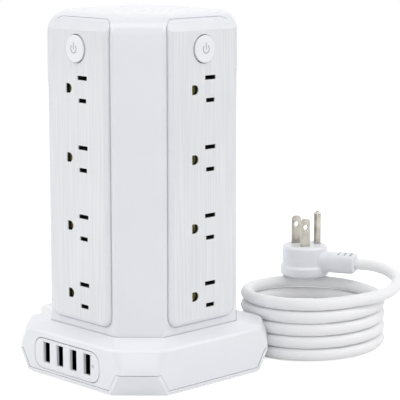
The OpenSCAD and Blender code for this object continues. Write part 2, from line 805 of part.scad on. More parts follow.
module earth_strip(k) {
    color("#c8a24a")
    side(k)
    union() {
        for (i = [0 : outlet_count - 1])
            difference() {
                side_round(ground_u, outlet_z + i * outlet_pitch, sleeve_r + sleeve_t, strip_r - contact_t,
                           contact_front);
                side_round(ground_u, outlet_z + i * outlet_pitch, sleeve_r, strip_r, column_half);
                side_box(ground_u - sleeve_slit / 2, ground_u + sleeve_slit / 2, strip_r + over, column_half,
                         outlet_z + i * outlet_pitch, outlet_z + i * outlet_pitch + 2 * sleeve_r);
            }
        side_box(ground_u - strip_w / 2, ground_u + strip_w / 2, strip_r - contact_t, strip_r,
                 block_z0 - strip_tail, outlet_last_z);
    }
}

// Power buttons and switches

module power_button(k) {
    face = column_half + plate_out + button_out;
    back = column_half;
    crown_r = button_r - button_rim_r;
    // The crown falls away as the square of the distance from the middle
    crown = [for (i = [corner_steps - 1 : -1 : 0])
        let (share = i / corner_steps) [crown_r * share, face - back - button_crown * share * share]];
    color("#f2f2f4")
    side(k)
    translate([0, 0, button_z])
    union() {
        translate([0, -back, 0]) rotate([90, 0, 0]) rotate_extrude()
            polygon(concat(
                [[0, 0], [button_r, 0]],
                arc(button_r - button_rim_r, face - back - button_crown - button_rim_r, button_rim_r, 0, 75,
                    corner_steps),
                crown));
        side_box(-stem_w / 2, stem_w / 2, back - stem_l, back + snug, -stem_w / 2, stem_w / 2);
    }
}

module power_switch(k) {
    color("#3a3c40")
    side(k)
    translate([0, 0, button_z])
    union() {
        difference() {
            side_box(-switch_w / 2, switch_w / 2, switch_back, switch_front, -switch_h / 2, switch_h / 2);
            side_box(-stem_w / 2 - fit, stem_w / 2 + fit,
                     column_half - stem_l - 2 * button_travel, switch_front + over,
                     -stem_w / 2 - fit, stem_w / 2 + fit);
        }
        side_box(live_strip_u - terminal_w / 2, live_strip_u + terminal_w / 2,
                 switch_back, switch_back + terminal_w,
                 -switch_h / 2 - terminal_l, -switch_h / 2 + over);
    }
}

// USB ports

function port_u(i) = usb_row_u + (i - (usb_count - 1) / 2) * usb_pitch;

// Outline of the USB panel, made larger all round and set at a distance from the tower's middle
function usb_outline(more, from) =
    panel(usb_u - usb_w / 2 - more, usb_u + usb_w / 2 + more,
          usb_z - usb_h / 2 - more, usb_z + usb_h / 2 + more, usb_corner_r + more, -from);

module usb_panel() {
    flange = usb_flange_over + fit;
    panel_back = usb_inner - usb_flange_t;
    room = port_t + fit;
    color("#eceded")
    difference() {
        union() {
            loft([usb_outline(0, usb_inner - over), usb_outline(0, base_half)]);
            loft([usb_outline(flange, panel_back), usb_outline(flange, usb_inner)]);
        }
        for (i = [0 : usb_count - 1]) {
            side_box(port_u(i) - (port_w + port_mouth) / 2, port_u(i) + (port_w + port_mouth) / 2,
                     panel_back - over, base_half + over,
                     usb_row_z - (port_h - port_sill) / 2, usb_row_z + (port_h - port_sill) / 2);
            side_box(port_u(i) - port_w / 2 - room, port_u(i) + port_w / 2 + room,
                     panel_back - over, port_front + snug,
                     usb_row_z - port_h / 2 - room, usb_row_z + port_h / 2 + room);
        }
        side_round(lamp_u, usb_row_z, lamp_r + fit, panel_back - over, base_half + over);
    }
}

module usb_shell(i) {
    color("#b9bcc0")
    difference() {
        side_box(port_u(i) - port_w / 2 - port_t, port_u(i) + port_w / 2 + port_t, port_back, port_front,
                 usb_row_z - port_h / 2 - port_t, usb_row_z + port_h / 2 + port_t);
        side_box(port_u(i) - port_w / 2, port_u(i) + port_w / 2, port_back - over, port_front + over,
                 usb_row_z - port_h / 2, usb_row_z + port_h / 2);
    }
}

module usb_tongue(i) {
    color("#1b1c1e")
    union() {
        side_box(port_u(i) - port_w / 2 + snug, port_u(i) + port_w / 2 - snug,
                 port_back, port_back + insulator_t,
                 usb_row_z - port_h / 2 + snug, usb_row_z + port_h / 2 - snug);
        side_box(port_u(i) + tongue_shift - tongue_t / 2, port_u(i) + tongue_shift + tongue_t / 2,
                 port_back + snug, port_front - tongue_back,
                 usb_row_z - tongue_w / 2, usb_row_z + tongue_w / 2);
    }
}

module usb_board() {
    color("#2f6b46")
    side_box(usb_u - usb_board_w / 2, usb_u + usb_board_w / 2, port_back - snug - board_t, port_back - snug,
             bottom_top + snug, bottom_top + snug + usb_board_h);
}

module lamp_window() {
    color("#dfe6ea")
    side_round(lamp_u, usb_row_z, lamp_r, port_back, base_half);
}

// Boards and wires inside

module surge_board() {
    color("#2f6b46")
    translate([-surge_w / 2, -surge_w / 2, surge_z]) cube([surge_w, surge_w, board_t]);
}

module surge_absorbers() {
    color("#2a62a8")
    for (i = [0 : varistor_count - 1])
        translate([(i - (varistor_count - 1) / 2) * varistor_pitch, 0, surge_top + varistor_r])
            rotate([90, 0, 90])
            translate([0, 0, -varistor_t / 2]) cylinder(r = varistor_r, h = varistor_t);
}

module terminal_block() {
    color("#4c8f56")
    translate([-surge_w / 2 - terminal_block_out, exit_y - terminal_block_w / 2, surge_top])
        cube([terminal_block_d, terminal_block_w, terminal_block_h]);
}

// Supply wire from the strain relief to the terminal block
module supply_wire(n) {
    from = -usb_inner + gland_flange_t + snug;
    to = -surge_w / 2 - terminal_block_out - snug;
    translate([from, exit_y + n * 3 * wire_r, exit_z]) rotate([0, 90, 0]) cylinder(r = wire_r, h = to - from);
}

// Upright wire from the surge board on every side
module risers(u, r_at, z_end) {
    for (k = [0 : 3]) side(k)
        translate([u, -r_at, surge_top]) cylinder(r = wire_r, h = z_end - surge_top);
}

module live_wires() {
    color("#1d1d1f")
    union() {
        supply_wire(-1);
        risers(live_strip_u, switch_back + terminal_w / 2, button_z - switch_h / 2 - terminal_l - snug);
    }
}

module neutral_wires() {
    color("#f0f0ee")
    union() {
        supply_wire(0);
        risers(neutral_strip_u, strip_r - contact_t / 2, block_z0 - strip_tail - snug);
    }
}

module earth_wires() {
    color("#2e8b4a")
    union() {
        supply_wire(1);
        risers(ground_u, strip_r - contact_t / 2, block_z0 - strip_tail - snug);
    }
}

// Feet and screws

module rubber_feet() {
    color("#55575a")
    for (k = [0 : 3]) rotate([0, 0, side_turn[k] + 45])
        translate([foot_at, 0, 0]) cylinder(r = foot_r, h = foot_t);
}

// Screw with its head down, head's underside at z = 0
module screw() {
    difference() {
        union() {
            translate([0, 0, -screw_head_h]) cylinder(r = screw_head_r, h = screw_head_h);
            translate([0, 0, -screw_head_h / 2]) cylinder(r = screw_r, h = screw_l + screw_head_h / 2 - snug);
        }
        for (a = [0, 90]) rotate([0, 0, a])
            translate([-screw_r, -screw_cross_w / 2, -screw_head_h - over])
                cube([2 * screw_r, screw_cross_w, over + screw_head_h / 2]);
    }
}

module base_screws() {
    color("#9a9ca0")
    for (k = [0 : 3]) rotate([0, 0, side_turn[k] + 45])
        translate([base_screw_at, 0, bottom_z + screw_head_h]) screw();
}

module column_screws() {
    color("#9a9ca0")
    for (k = [0 : 3]) rotate([0, 0, side_turn[k] + 45])
        translate([column_screw_at, 0, ceiling_z]) screw();
}

// Cord

// Middle line of the coil after a number of turns from the side next to the base
function coil_at(t) =
    let (a = 360 * t - 90)
    [coil_x + coil_r * cos(a), coil_y + coil_r * sin(a), cord_z + coil_pitch * t];

// Turns of the coil, and rings in one turn
coil_turns = 4.2;
coil_rings = 24;
// Flats round the cord, in the coil and in its free stretches
coil_sides = 6;
lead_sides = 10;
coil_steps = ceil(coil_turns * coil_rings);
coil_climb = coil_pitch / (2 * PI * coil_r);
coil_end_dir = unit([cos(360 * coil_turns), sin(360 * coil_turns), coil_climb]);
coil_path = concat(
    [coil_at(0) - [cord_d, 0, 0]],
    [for (i = [0 : coil_steps]) coil_at(coil_turns * i / coil_steps)],
    [coil_at(coil_turns) + cord_d * coil_end_dir]);
coil_last = coil_path[len(coil_path) - 1];

// Least space between the parts of a path that lie a number of points apart
function self_gap(path, apart) =
    min([for (i = [0 : len(path) - 1 - apart])
        for (j = [i + apart : len(path) - 1]) norm(path[j] - path[i])]) - cord_d;

// Length of a path
function path_length(path, i = 1) =
    i == len(path) ? 0 : norm(path[i] - path[i - 1]) + path_length(path, i + 1);

// Route of the lead over the floor, from the corner where the base's left and back sides would meet:
// a half circle, then straight to the coil
lead_route = [
    [-42.8, -50.7, 13.2], [-52.8, -43.7, 11.6], [-58.8, -33.2, 9.4], [-60.3, -21.2, 7.2],
    [-56.3, -9.7, 5.4], [-48.3, -0.7, 4.4], [-37.3, 4.3, 3.9], [-24.8, 4.8, 3.8],
    [-9.8, 4.8, 3.8], [5.2, 4.8, 3.8], [20.2, 4.8, 3.8], [35.2, 4.8, 3.8],
    [50.2, 4.8, 3.8], [65.2, 4.8, 3.8], [77.2, 4.8, 3.8]];
lead_start = [-base_half - gland_l, exit_y, exit_z];
lead_path = concat(
    [lead_start, lead_start - [cord_d, 0, 0]],
    [for (p = lead_route) p + [-base_half, base_half, 0]],
    [coil_path[0] - [cord_d, 0, 0], coil_path[0]]);

// Place of the plug on the coil: angle of its disc round the ring, and of the end of its neck
plug_angle = 140;
neck_angle = plug_angle - 2 * asin(plug_reach / (2 * coil_r));
plug_rest_angle = plug_angle + asin(plug_back_r / coil_r);
plug_z = coil_at((plug_rest_angle + 90) / 360 + 3)[2] + cord_r + seam;
plug_at = [coil_x + coil_r * cos(plug_angle), coil_y + coil_r * sin(plug_angle), plug_z];
neck_end = [coil_x + coil_r * cos(neck_angle), coil_y + coil_r * sin(neck_angle), plug_z + plug_neck_z];
neck_dir = unit([neck_end[0] - plug_at[0], neck_end[1] - plug_at[1], 0]);
neck_turn = atan2(neck_dir[1], neck_dir[0]);

// Route of the tail from the end of the coil, over the top turn, up to the plug's neck,
// measured from the coil's middle
tail_route = [
    [42.2, -2.3, 36.5], [44.2, 5.7, 36.8], [44.7, 14.2, 37.4], [43.7, 23.2, 38.5], [40.7, 31.2, 39.8],
    [35.7, 38.2, 41.3], [27.7, 43.2, 43], [18.7, 45.7, 44.3], [11.2, 45.2, 45.1]];
tail_path = concat(
    [coil_last],
    [for (p = tail_route) p + [coil_x, coil_y, 0]],
    [neck_end + cord_d * neck_dir, neck_end]);

echo(str("coil: least gap between its own loops ", self_gap(coil_path, coil_rings / 2), " mm"));
echo(str("cord: lead ", path_length(lead_path), ", coil ", path_length(coil_path),
         ", tail ", path_length(tail_path), " mm"));

module cord_gland() {
    groove = gland_l / (2 * gland_grooves + 2);
    taper = (gland_root_r - gland_tip_r) / gland_l;
    color("#f3f3f5")
    translate([-base_half, exit_y, exit_z]) rotate([0, -90, 0])
    difference() {
        union() {
            translate([0, 0, -base_wall - gland_flange_t]) cylinder(r = gland_flange_r, h = gland_flange_t);
            translate([0, 0, -base_wall - gland_flange_t / 2])
                cylinder(r = gland_root_r, h = base_wall + gland_flange_t);
            cylinder(r = gland_flange_r, h = gland_flange_t);
            translate([0, 0, gland_flange_t / 2])
                cylinder(r1 = gland_root_r, r2 = gland_tip_r, h = gland_l - gland_flange_t / 2);
        }
        for (i = [1 : gland_grooves])
            translate([0, 0, groove * (2 * i)]) difference() {
                cylinder(r = gland_flange_r, h = groove / 2);
                translate([0, 0, -over])
                    cylinder(r = gland_root_r - taper * groove * 2 * i - gland_groove_d,
                             h = groove + 2 * over);
            }
    }
}

module cord_lead() {
    color("#f3f3f5") tube(lead_path, cord_r, lead_sides);
}

module cord_coil() {
    color("#f3f3f5") tube(coil_path, cord_r, coil_sides);
}

module cord_tail() {
    color("#f3f3f5") tube(tail_path, cord_r, lead_sides);
}

// Plug

// Things drawn with the plug's back on z = 0 and its neck along +X, put in place
module on_plug() {
    translate(plug_at) rotate([0, 0, neck_turn]) children();
}

// Things drawn on the prong face with the ground pin along +X
module on_prongs() {
    on_plug() rotate([0, 0, prong_turn]) translate([-ground_gap / 4, 0, 0]) children();
}

module plug_body() {
    neck_start = plug_r / 2;
    root_half = (neck_w + neck_flare) / 2;
    rim_half = (neck_w + neck_flare / 4) / 2;
    end_half = neck_w / 2;
    neck_top = neck_lift + neck_t;
    rim_r = plug_edge_r / 2;
    color("#f5f5f7")
    difference() {
        on_plug() union() {
            rotate_extrude()
                polygon(concat(
                    [[0, 0]],
                    arc(plug_back_r - plug_edge_r, plug_edge_r, plug_edge_r, -90, 0, corner_steps),
                    arc(plug_back_r - rim_r, plug_back_t - rim_r, rim_r, 0, 90, corner_steps),
                    [[plug_r, plug_back_t]],
                    arc(plug_r - plug_edge_r, plug_t - plug_edge_r, plug_edge_r, 0, 90, corner_steps),
                    [[0, plug_t]]));
            intersection() {
                translate([0, 0, neck_lift]) linear_extrude(neck_t)
                    polygon([[neck_start, -root_half], [plug_back_r, -rim_half],
                             [plug_reach, -end_half], [plug_reach, end_half],
                             [plug_back_r, rim_half], [neck_start, root_half]]);
                rotate([90, 0, 0]) translate([0, 0, -plug_r]) linear_extrude(2 * plug_r)
                    polygon(concat(
                        [[0, 0]],
                        arc(plug_reach - plug_edge_r, neck_lift + plug_edge_r, plug_edge_r,
                            -90, 0, corner_steps),
                        arc(plug_reach - plug_edge_r, neck_top - plug_edge_r, plug_edge_r,
                            0, 90, corner_steps),
                        [[0, neck_top]]));
            }
        }
        on_plug() for (i = [0 : neck_slots - 1])
            translate([plug_reach - neck_slot_pitch * (i + 1) + neck_slot_w / 2, -neck_slot_l / 2,
                       neck_top - neck_slot_d])
                cube([neck_slot_w, neck_slot_l, neck_slot_d + over]);
        on_prongs() {
            for (s = [-1, 1])
                translate([-blade_w / 2 - snug, s * blade_half - blade_t / 2 - snug,
                           plug_t - prong_root - snug])
                    cube([blade_w + 2 * snug, blade_t + 2 * snug, prong_root + over + snug]);
            translate([ground_gap, 0, plug_t - prong_root - snug])
                cylinder(r = pin_root_r + snug, h = prong_root + over + snug);
        }
    }
}

// Flat blade with a hole and a slanted tip, side picked by sign
module blade(s) {
    top = plug_t + blade_l;
    root = plug_t - prong_root;
    half = blade_w / 2;
    color("#b7b9bb")
    on_prongs() translate([0, s * blade_half + blade_t / 2, 0]) rotate([90, 0, 0])
    difference() {
        linear_extrude(blade_t)
            polygon([[-half, root], [half, root], [half, top - blade_tip],
                     [half - blade_tip, top], [-half + blade_tip, top], [-half, top - blade_tip]]);
        translate([0, top - blade_hole_at, -over]) cylinder(r = blade_hole_r, h = blade_t + 2 * over);
    }
}

module plug_neutral_blade() {
    blade(1);
}

module plug_live_blade() {
    blade(-1);
}

module plug_ground_pin() {
    color("#b7b9bb")
    on_prongs() translate([ground_gap, 0, plug_t - prong_root]) rotate_extrude()
        polygon(concat(
            [[0, 0], [pin_root_r, 0], [pin_root_r, prong_root + snug], [pin_r, prong_root + snug]],
            arc(0, prong_root + pin_l - pin_r, pin_r, 0, 90, 2 * corner_steps)));
}

base_bottom();
base_shell();
column_shell();
face_plate(0);  // face_plate_front
face_plate(1);  // face_plate_right
face_plate(2);  // face_plate_back
face_plate(3);  // face_plate_left
power_button(0);  // power_button_front
power_button(1);  // power_button_right
power_button(2);  // power_button_back
power_button(3);  // power_button_left
power_switch(0);  // power_switch_front
power_switch(1);  // power_switch_right
power_switch(2);  // power_switch_back
power_switch(3);  // power_switch_left
outlet_block(0);  // outlet_block_front
outlet_block(1);  // outlet_block_right
outlet_block(2);  // outlet_block_back
outlet_block(3);  // outlet_block_left
neutral_strip(0);  // neutral_strip_front
neutral_strip(1);  // neutral_strip_right
neutral_strip(2);  // neutral_strip_back
neutral_strip(3);  // neutral_strip_left
live_strip(0);  // live_strip_front
live_strip(1);  // live_strip_right
live_strip(2);  // live_strip_back
live_strip(3);  // live_strip_left
earth_strip(0);  // earth_strip_front
earth_strip(1);  // earth_strip_right
earth_strip(2);  // earth_strip_back
earth_strip(3);  // earth_strip_left
usb_panel();
usb_shell(0);  // usb_shell_1
usb_shell(1);  // usb_shell_2
usb_shell(2);  // usb_shell_3
usb_shell(3);  // usb_shell_4
usb_tongue(0);  // usb_tongue_1
usb_tongue(1);  // usb_tongue_2
usb_tongue(2);  // usb_tongue_3
usb_tongue(3);  // usb_tongue_4
usb_board();
lamp_window();
surge_board();
surge_absorbers();
terminal_block();
live_wires();
neutral_wires();
earth_wires();
rubber_feet();
base_screws();
column_screws();
cord_gland();
cord_lead();
cord_coil();
cord_tail();
plug_body();
plug_neutral_blade();
plug_live_blade();
plug_ground_pin();
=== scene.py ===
"""Looks of the tower power strip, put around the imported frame.

It has the finishes, the rounded shells, the cord as one curve, the plug, the power signs, light and camera.
"""

import json
import logging
import math
from dataclasses import dataclass
from enum import Enum
from typing import Any, Callable, Sequence

import bmesh
import bpy
from mathutils import Matrix, Vector

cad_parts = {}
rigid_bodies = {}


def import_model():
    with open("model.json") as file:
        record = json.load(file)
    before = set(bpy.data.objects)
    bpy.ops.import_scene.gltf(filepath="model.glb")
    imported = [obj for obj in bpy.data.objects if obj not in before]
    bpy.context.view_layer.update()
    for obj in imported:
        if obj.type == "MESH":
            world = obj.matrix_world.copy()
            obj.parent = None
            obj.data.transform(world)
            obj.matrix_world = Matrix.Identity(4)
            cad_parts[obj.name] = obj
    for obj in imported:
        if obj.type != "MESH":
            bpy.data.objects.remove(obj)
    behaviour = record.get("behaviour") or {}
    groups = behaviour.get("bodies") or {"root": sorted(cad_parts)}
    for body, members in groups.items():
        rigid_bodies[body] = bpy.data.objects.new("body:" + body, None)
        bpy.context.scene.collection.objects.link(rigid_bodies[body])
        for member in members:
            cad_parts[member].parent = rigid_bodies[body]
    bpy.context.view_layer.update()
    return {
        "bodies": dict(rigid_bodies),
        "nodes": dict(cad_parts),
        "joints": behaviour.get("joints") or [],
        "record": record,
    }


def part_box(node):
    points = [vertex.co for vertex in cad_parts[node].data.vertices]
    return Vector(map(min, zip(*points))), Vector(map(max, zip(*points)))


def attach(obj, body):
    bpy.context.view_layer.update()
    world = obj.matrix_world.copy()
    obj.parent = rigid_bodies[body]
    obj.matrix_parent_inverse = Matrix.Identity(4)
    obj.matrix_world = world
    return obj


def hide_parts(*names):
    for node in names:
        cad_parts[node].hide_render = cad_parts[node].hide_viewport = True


LOG = logging.getLogger("tower_strip")
MM = 0.001
TOWER = "tower"
WHITE = "#FFFFFF"
PRONGS = ("plug_neutral_blade", "plug_live_blade", "plug_ground_pin")
# Points closer than this are one point
WELD = 0.002 * MM
# A point this close to a flat front lies in it
ON_FRONT = 0.05 * MM
# The parts of a noise pattern's range that nearly all of it lies in
CLOUD_RANGE = (0.35, 0.65)
GRAIN_RANGE = (0.3, 0.7)

Point = tuple[float, float, float]
Outline = list[tuple[float, float]]


def linear(colour: str) -> tuple[float, float, float, float]:
    """Turns an sRGB hex colour into linear light.

    Args:
        colour: The colour as "#RRGGBB".

    Returns:
        Red, green, blue and a full alpha, in linear light.
    """
    parts = [int(colour[i : i + 2], 16) / 255 for i in (1, 3, 5)]
    lit = [p / 12.92 if p <= 0.04045 else ((p + 0.055) / 1.055) ** 2.4 for p in parts]
    return (lit[0], lit[1], lit[2], 1.0)


def add_node(
    tree: bpy.types.NodeTree,
    kind: str,
    settings: dict[str, Any] | None = None,
    inputs: dict[str | int, Any] | None = None,
) -> bpy.types.Node:
    """Adds a node with its settings and its links.

    Args:
        tree: The node tree that takes the node.
        kind: The node's type name.
        settings: Attributes of the node, by name.
        inputs: A value for each input, or the output socket that feeds it.

    Returns:
        The new node.
    """
    node = tree.nodes.new(kind)
    for name, value in (settings or {}).items():
        setattr(node, name, value)
    for name, value in (inputs or {}).items():
        if isinstance(value, bpy.types.NodeSocket):
            tree.links.new(value, node.inputs[name])
        else:
            node.inputs[name].default_value = value
    return node


def emptied(owner: bpy.types.Material | bpy.types.World) -> bpy.types.NodeTree:
    """Gives a material or a world nodes of its own, with none in place yet.

    Args:
        owner: The material or the world.

    Returns:
        Its node tree.
    """
    owner.use_nodes = True
    owner.node_tree.nodes.clear()
    return owner.node_tree


class Along(Enum):
    """Ways in which a finish's grain runs, as its stretch along X, Y and Z."""

    EVEN = (1.0, 1.0, 1.0)
    UPRIGHT = (1.0, 1.0, 90.0)


@dataclass(frozen=True)
class Finish:
    """A real material with its surface: colour clouds, fine grain in gloss and height."""

    name: str
    colour: str
    shade: str
    smooth: float
    rough: float
    ior: float = 1.5
    metallic: float = 0.0
    cloud_mm: float = 30.0
    cloud_detail: float = 2.0
    grain_mm: float = 0.8
    grain_lift_mm: float = 0.01
    grain_detail: float = 3.0
    grain_in_colour: float = 0.25
    along: Along = Along.EVEN

    def material(self) -> bpy.types.Material:
        """Makes the finish as a node material, once.

        Returns:
            The material.
        """
        made = bpy.data.materials.get(self.name)
        if made is not None:
            return made
        made = bpy.data.materials.new(self.name)
        made.diffuse_color = linear(self.colour)
        tree = emptied(made)
        place = add_node(tree, "ShaderNodeTexCoord").outputs["Object"]
        grain = self.grain(tree, place)
        gloss = add_node(
            tree,
            "ShaderNodeMapRange",
            inputs={
                "Value": grain,
                "From Min": GRAIN_RANGE[0],
                "From Max": GRAIN_RANGE[1],
                "To Min": self.smooth,
                "To Max": self.rough,
            },
        )
        relief = add_node(
            tree,
            "ShaderNodeBump",
            inputs={"Distance": self.grain_lift_mm * MM, "Height": grain},
        )
        shader = add_node(
            tree,
            "ShaderNodeBsdfPrincipled",
            inputs={
                "Base Color": self.tint(tree, place, grain),
                "Roughness": gloss.outputs["Result"],
                "Normal": relief.outputs["Normal"],
                "Metallic": self.metallic,
                "IOR": self.ior,
            },
        )
        add_node(tree, "ShaderNodeOutputMaterial", inputs={"Surface": shader.outputs["BSDF"]})
        return made

    def grain(self, tree: bpy.types.NodeTree, place: bpy.types.NodeSocket) -> bpy.types.NodeSocket:
        """Adds the fine grain, drawn out along the way that the surface was worked.

        Args:
            tree: The material's node tree.
            place: The socket with the place on the piece.

        Returns:
            The grain's socket.
        """
        drawn_out = add_node(
            tree,
            "ShaderNodeMapping",
            inputs={"Vector": place, "Scale": tuple(1 / a for a in self.along.value)},
        )
        grain = add_node(
            tree,
            "ShaderNodeTexNoise",
            inputs={
                "Vector": drawn_out.outputs["Vector"],
                "Scale": 1 / (self.grain_mm * MM),
                "Detail": self.grain_detail,
            },
        )
        return grain.outputs["Fac"]

    def tint(
        self,
        tree: bpy.types.NodeTree,
        place: bpy.types.NodeSocket,
        grain: bpy.types.NodeSocket,
    ) -> bpy.types.NodeSocket:
        """Adds the colour, which goes to its shade and back in slow clouds and with the grain.

        Args:
            tree: The material's node tree.
            place: The socket with the place on the piece.
            grain: The grain's socket.

        Returns:
            The colour's socket.
        """
        cloud = add_node(
            tree,
            "ShaderNodeTexNoise",
            inputs={"Vector": place, "Scale": 1 / (self.cloud_mm * MM), "Detail": self.cloud_detail},
        )
        both = add_node(
            tree,
            "ShaderNodeMix",
            inputs={0: self.grain_in_colour, 2: cloud.outputs["Fac"], 3: grain},
        )
        spread = add_node(
            tree,
            "ShaderNodeMapRange",
            inputs={"Value": both.outputs[0], "From Min": CLOUD_RANGE[0], "From Max": CLOUD_RANGE[1]},
        )
        colour = add_node(
            tree,
            "ShaderNodeMix",
            {"data_type": "RGBA"},
            {0: spread.outputs["Result"], 6: linear(self.colour), 7: linear(self.shade)},
        )
        return colour.outputs[2]


@dataclass(frozen=True)
class PolishedAbs(Finish):
    """ABS moulded in a polished tool: cool white, glossy, with the faint waves of moulding."""

    name: str = "polished_abs"
    colour: str = "#E2E3E8"
    shade: str = "#DFE0E5"
    smooth: float = 0.18
    rough: float = 0.26
    ior: float = 1.54
    cloud_mm: float = 45.0
    grain_mm: float = 3.5
    grain_lift_mm: float = 0.003
    grain_detail: float = 1.0
    grain_in_colour: float = 0.15


@dataclass(frozen=True)
class BaseAbs(PolishedAbs):
    """The same ABS as the column, a touch lighter than the column beside it: painted light on the base."""

    name: str = "base_abs"
    colour: str = "#E7E8EC"
    shade: str = "#E4E5EA"


@dataclass(frozen=True)
class ButtonAbs(PolishedAbs):
    """ABS of the buttons, moulded apart: a brighter white than the plates, so the caps stand out."""

    name: str = "button_abs"
    colour: str = "#EBECEF"
    shade: str = "#E8E9ED"


@dataclass(frozen=True)
class PlateSlopeAbs(PolishedAbs):
    """The plates' ABS where the tool is polished, a shade darker than the column: painted shade, so the
    slopes stand out.
    """

    name: str = "plate_slope_abs"
    colour: str = "#DFE0E4"
    shade: str = "#DCDDE1"


@dataclass(frozen=True)
class LinedAbs(Finish):
    """ABS moulded against a tool brushed upright: fine grey vertical lines under a softer gloss.

    The real lines lie about 0.15 mm apart. They are drawn at 0.55 mm, the finest that shows in the picture.
    """

    name: str = "lined_abs"
    colour: str = "#E5E6E9"
    shade: str = "#D7D8DB"
    smooth: float = 0.3
    rough: float = 0.42
    ior: float = 1.54
    cloud_mm: float = 60.0
    grain_mm: float = 0.55
    grain_lift_mm: float = 0.02
    grain_in_colour: float = 0.75
    along: Along = Along.UPRIGHT


@dataclass(frozen=True)
class BlackPolycarbonate(Finish):
    """Black polycarbonate moulded against a spark-eroded tool: almost no light comes back from the slots."""

    name: str = "black_polycarbonate"
    colour: str = "#0B0B0C"
    shade: str = "#101011"
    smooth: float = 0.5
    rough: float = 0.68
    ior: float = 1.58
    grain_mm: float = 0.25
    grain_lift_mm: float = 0.02


@dataclass(frozen=True)
class FilledNylon(Finish):
    """Glass-filled nylon, moulded: dull dark grey with pale fibre flecks, used for the switches."""

    name: str = "filled_nylon"
    colour: str = "#303236"
    shade: str = "#3E4045"
    smooth: float = 0.45
    rough: float = 0.62
    ior: float = 1.53
    grain_mm: float = 0.4
    grain_lift_mm: float = 0.02
    grain_in_colour: float = 0.6


@dataclass(frozen=True)
class StampedBrass(Finish):
    """Brass strip, rolled and stamped: warm yellow with rolling lines that blur its shine."""

    name: str = "stamped_brass"
    colour: str = "#F4EFA4"
    shade: str = "#E6DE8E"
    smooth: float = 0.5
    rough: float = 0.68
    metallic: float = 1.0
    grain_mm: float = 0.3
    grain_lift_mm: float = 0.008
    grain_in_colour: float = 0.5
    along: Along = Along.UPRIGHT


@dataclass(frozen=True)
class PhosphorBronze(StampedBrass):
    """Phosphor bronze leaves, darkened almost to black: painted shade, so they stay nearly black behind the
    blade slots.
    """

    name: str = "phosphor_bronze"
    colour: str = "#4A3A28"
    shade: str = "#3A2D1F"


@dataclass(frozen=True)
class BlackNickel(Finish):
    """Folded steel sheet with black nickel plate: the ports' shells, dark with a thin cold shine."""

    name: str = "black_nickel"
    colour: str = "#232427"
    shade: str = "#18191B"
    smooth: float = 0.3
    rough: float = 0.46
    metallic: float = 1.0
    grain_mm: float = 0.3
    grain_lift_mm: float = 0.006


@dataclass(frozen=True)
class BlackInsulator(Finish):
    """Black liquid-crystal polymer, moulded: the ports' tongues, satin with flow marks."""

    name: str = "black_insulator"
    colour: str = "#121213"
    shade: str = "#1A1A1C"
    smooth: float = 0.34
    rough: float = 0.48
    ior: float = 1.6
    grain_mm: float = 0.5
    grain_lift_mm: float = 0.01


@dataclass(frozen=True)
class LightGuide(Finish):
    """Diffusing polycarbonate, moulded: the lamp's window, an unlit pale grey dot with a soft gloss."""

    name: str = "light_guide"
    colour: str = "#CCD0D4"
    shade: str = "#C0C5CA"
    smooth: float = 0.16
    rough: float = 0.26
    ior: float = 1.58
    grain_mm: float = 0.4
    grain_lift_mm: float = 0.004


@dataclass(frozen=True)
class SolderMask(Finish):
    """Green solder mask printed on glass-fibre board: the weave shows as a fine ripple."""

    name: str = "solder_mask"
    colour: str = "#1F5B3B"
    shade: str = "#2B6E49"
    smooth: float = 0.29
    rough: float = 0.4
    grain_mm: float = 0.5
    grain_lift_mm: float = 0.01
    grain_in_colour: float = 0.5


@dataclass(frozen=True)
class DippedLacquer(Finish):
    """Epoxy lacquer, dipped: the surge absorbers' blue coat, glossy and uneven."""

    name: str = "dipped_lacquer"
    colour: str = "#2C62A6"
    shade: str = "#24558F"
    smooth: float = 0.14
    rough: float = 0.24
    grain_mm: float = 2.0
    grain_lift_mm: float = 0.06


@dataclass(frozen=True)
class GreenNylon(Finish):
    """Green nylon, moulded: the terminal block, satin."""

    name: str = "green_nylon"
    colour: str = "#4F9459"
    shade: str = "#44824E"
    smooth: float = 0.36
    rough: float = 0.5
    grain_mm: float = 0.5


@dataclass(frozen=True)
class Rubber(Finish):
    """Moulded rubber: the feet, dull dark grey with a fine tooth."""

    name: str = "foot_rubber"
    colour: str = "#4A4C50"
    shade: str = "#404246"
    smooth: float = 0.72
    rough: float = 0.88
    ior: float = 1.52
    grain_mm: float = 0.35
    grain_lift_mm: float = 0.03


@dataclass(frozen=True)
class ZincPlate(Finish):
    """Steel screws, cold headed and zinc plated: pale grey metal, slightly cloudy."""

    name: str = "zinc_plate"
    colour: str = "#B9BCC2"
    shade: str = "#A2A6AE"
    smooth: float = 0.29
    rough: float = 0.42
    metallic: float = 1.0
    cloud_mm: float = 4.0
    grain_mm: float = 0.3
    grain_lift_mm: float = 0.006


@dataclass(frozen=True)
class CordVinyl(Finish):
    """Soft PVC, extruded: the cord's white jacket, satin, with a slow unevenness from the haul-off."""

    name: str = "cord_vinyl"
    colour: str = "#E8EAED"
    shade: str = "#E2E4E8"
    smooth: float = 0.36
    rough: float = 0.48
    ior: float = 1.53
    cloud_mm: float = 18.0
    grain_mm: float = 1.2
    grain_lift_mm: float = 0.012


@dataclass(frozen=True)
class MouldedVinyl(Finish):
    """Soft PVC moulded onto the cord: the plug and the strain relief, satin with a faint skin."""

    name: str = "moulded_vinyl"
    colour: str = "#E6E8EC"
    shade: str = "#E0E2E6"
    smooth: float = 0.3
    rough: float = 0.42
    ior: float = 1.53
    cloud_mm: float = 12.0
    grain_mm: float = 1.0
    grain_lift_mm: float = 0.012


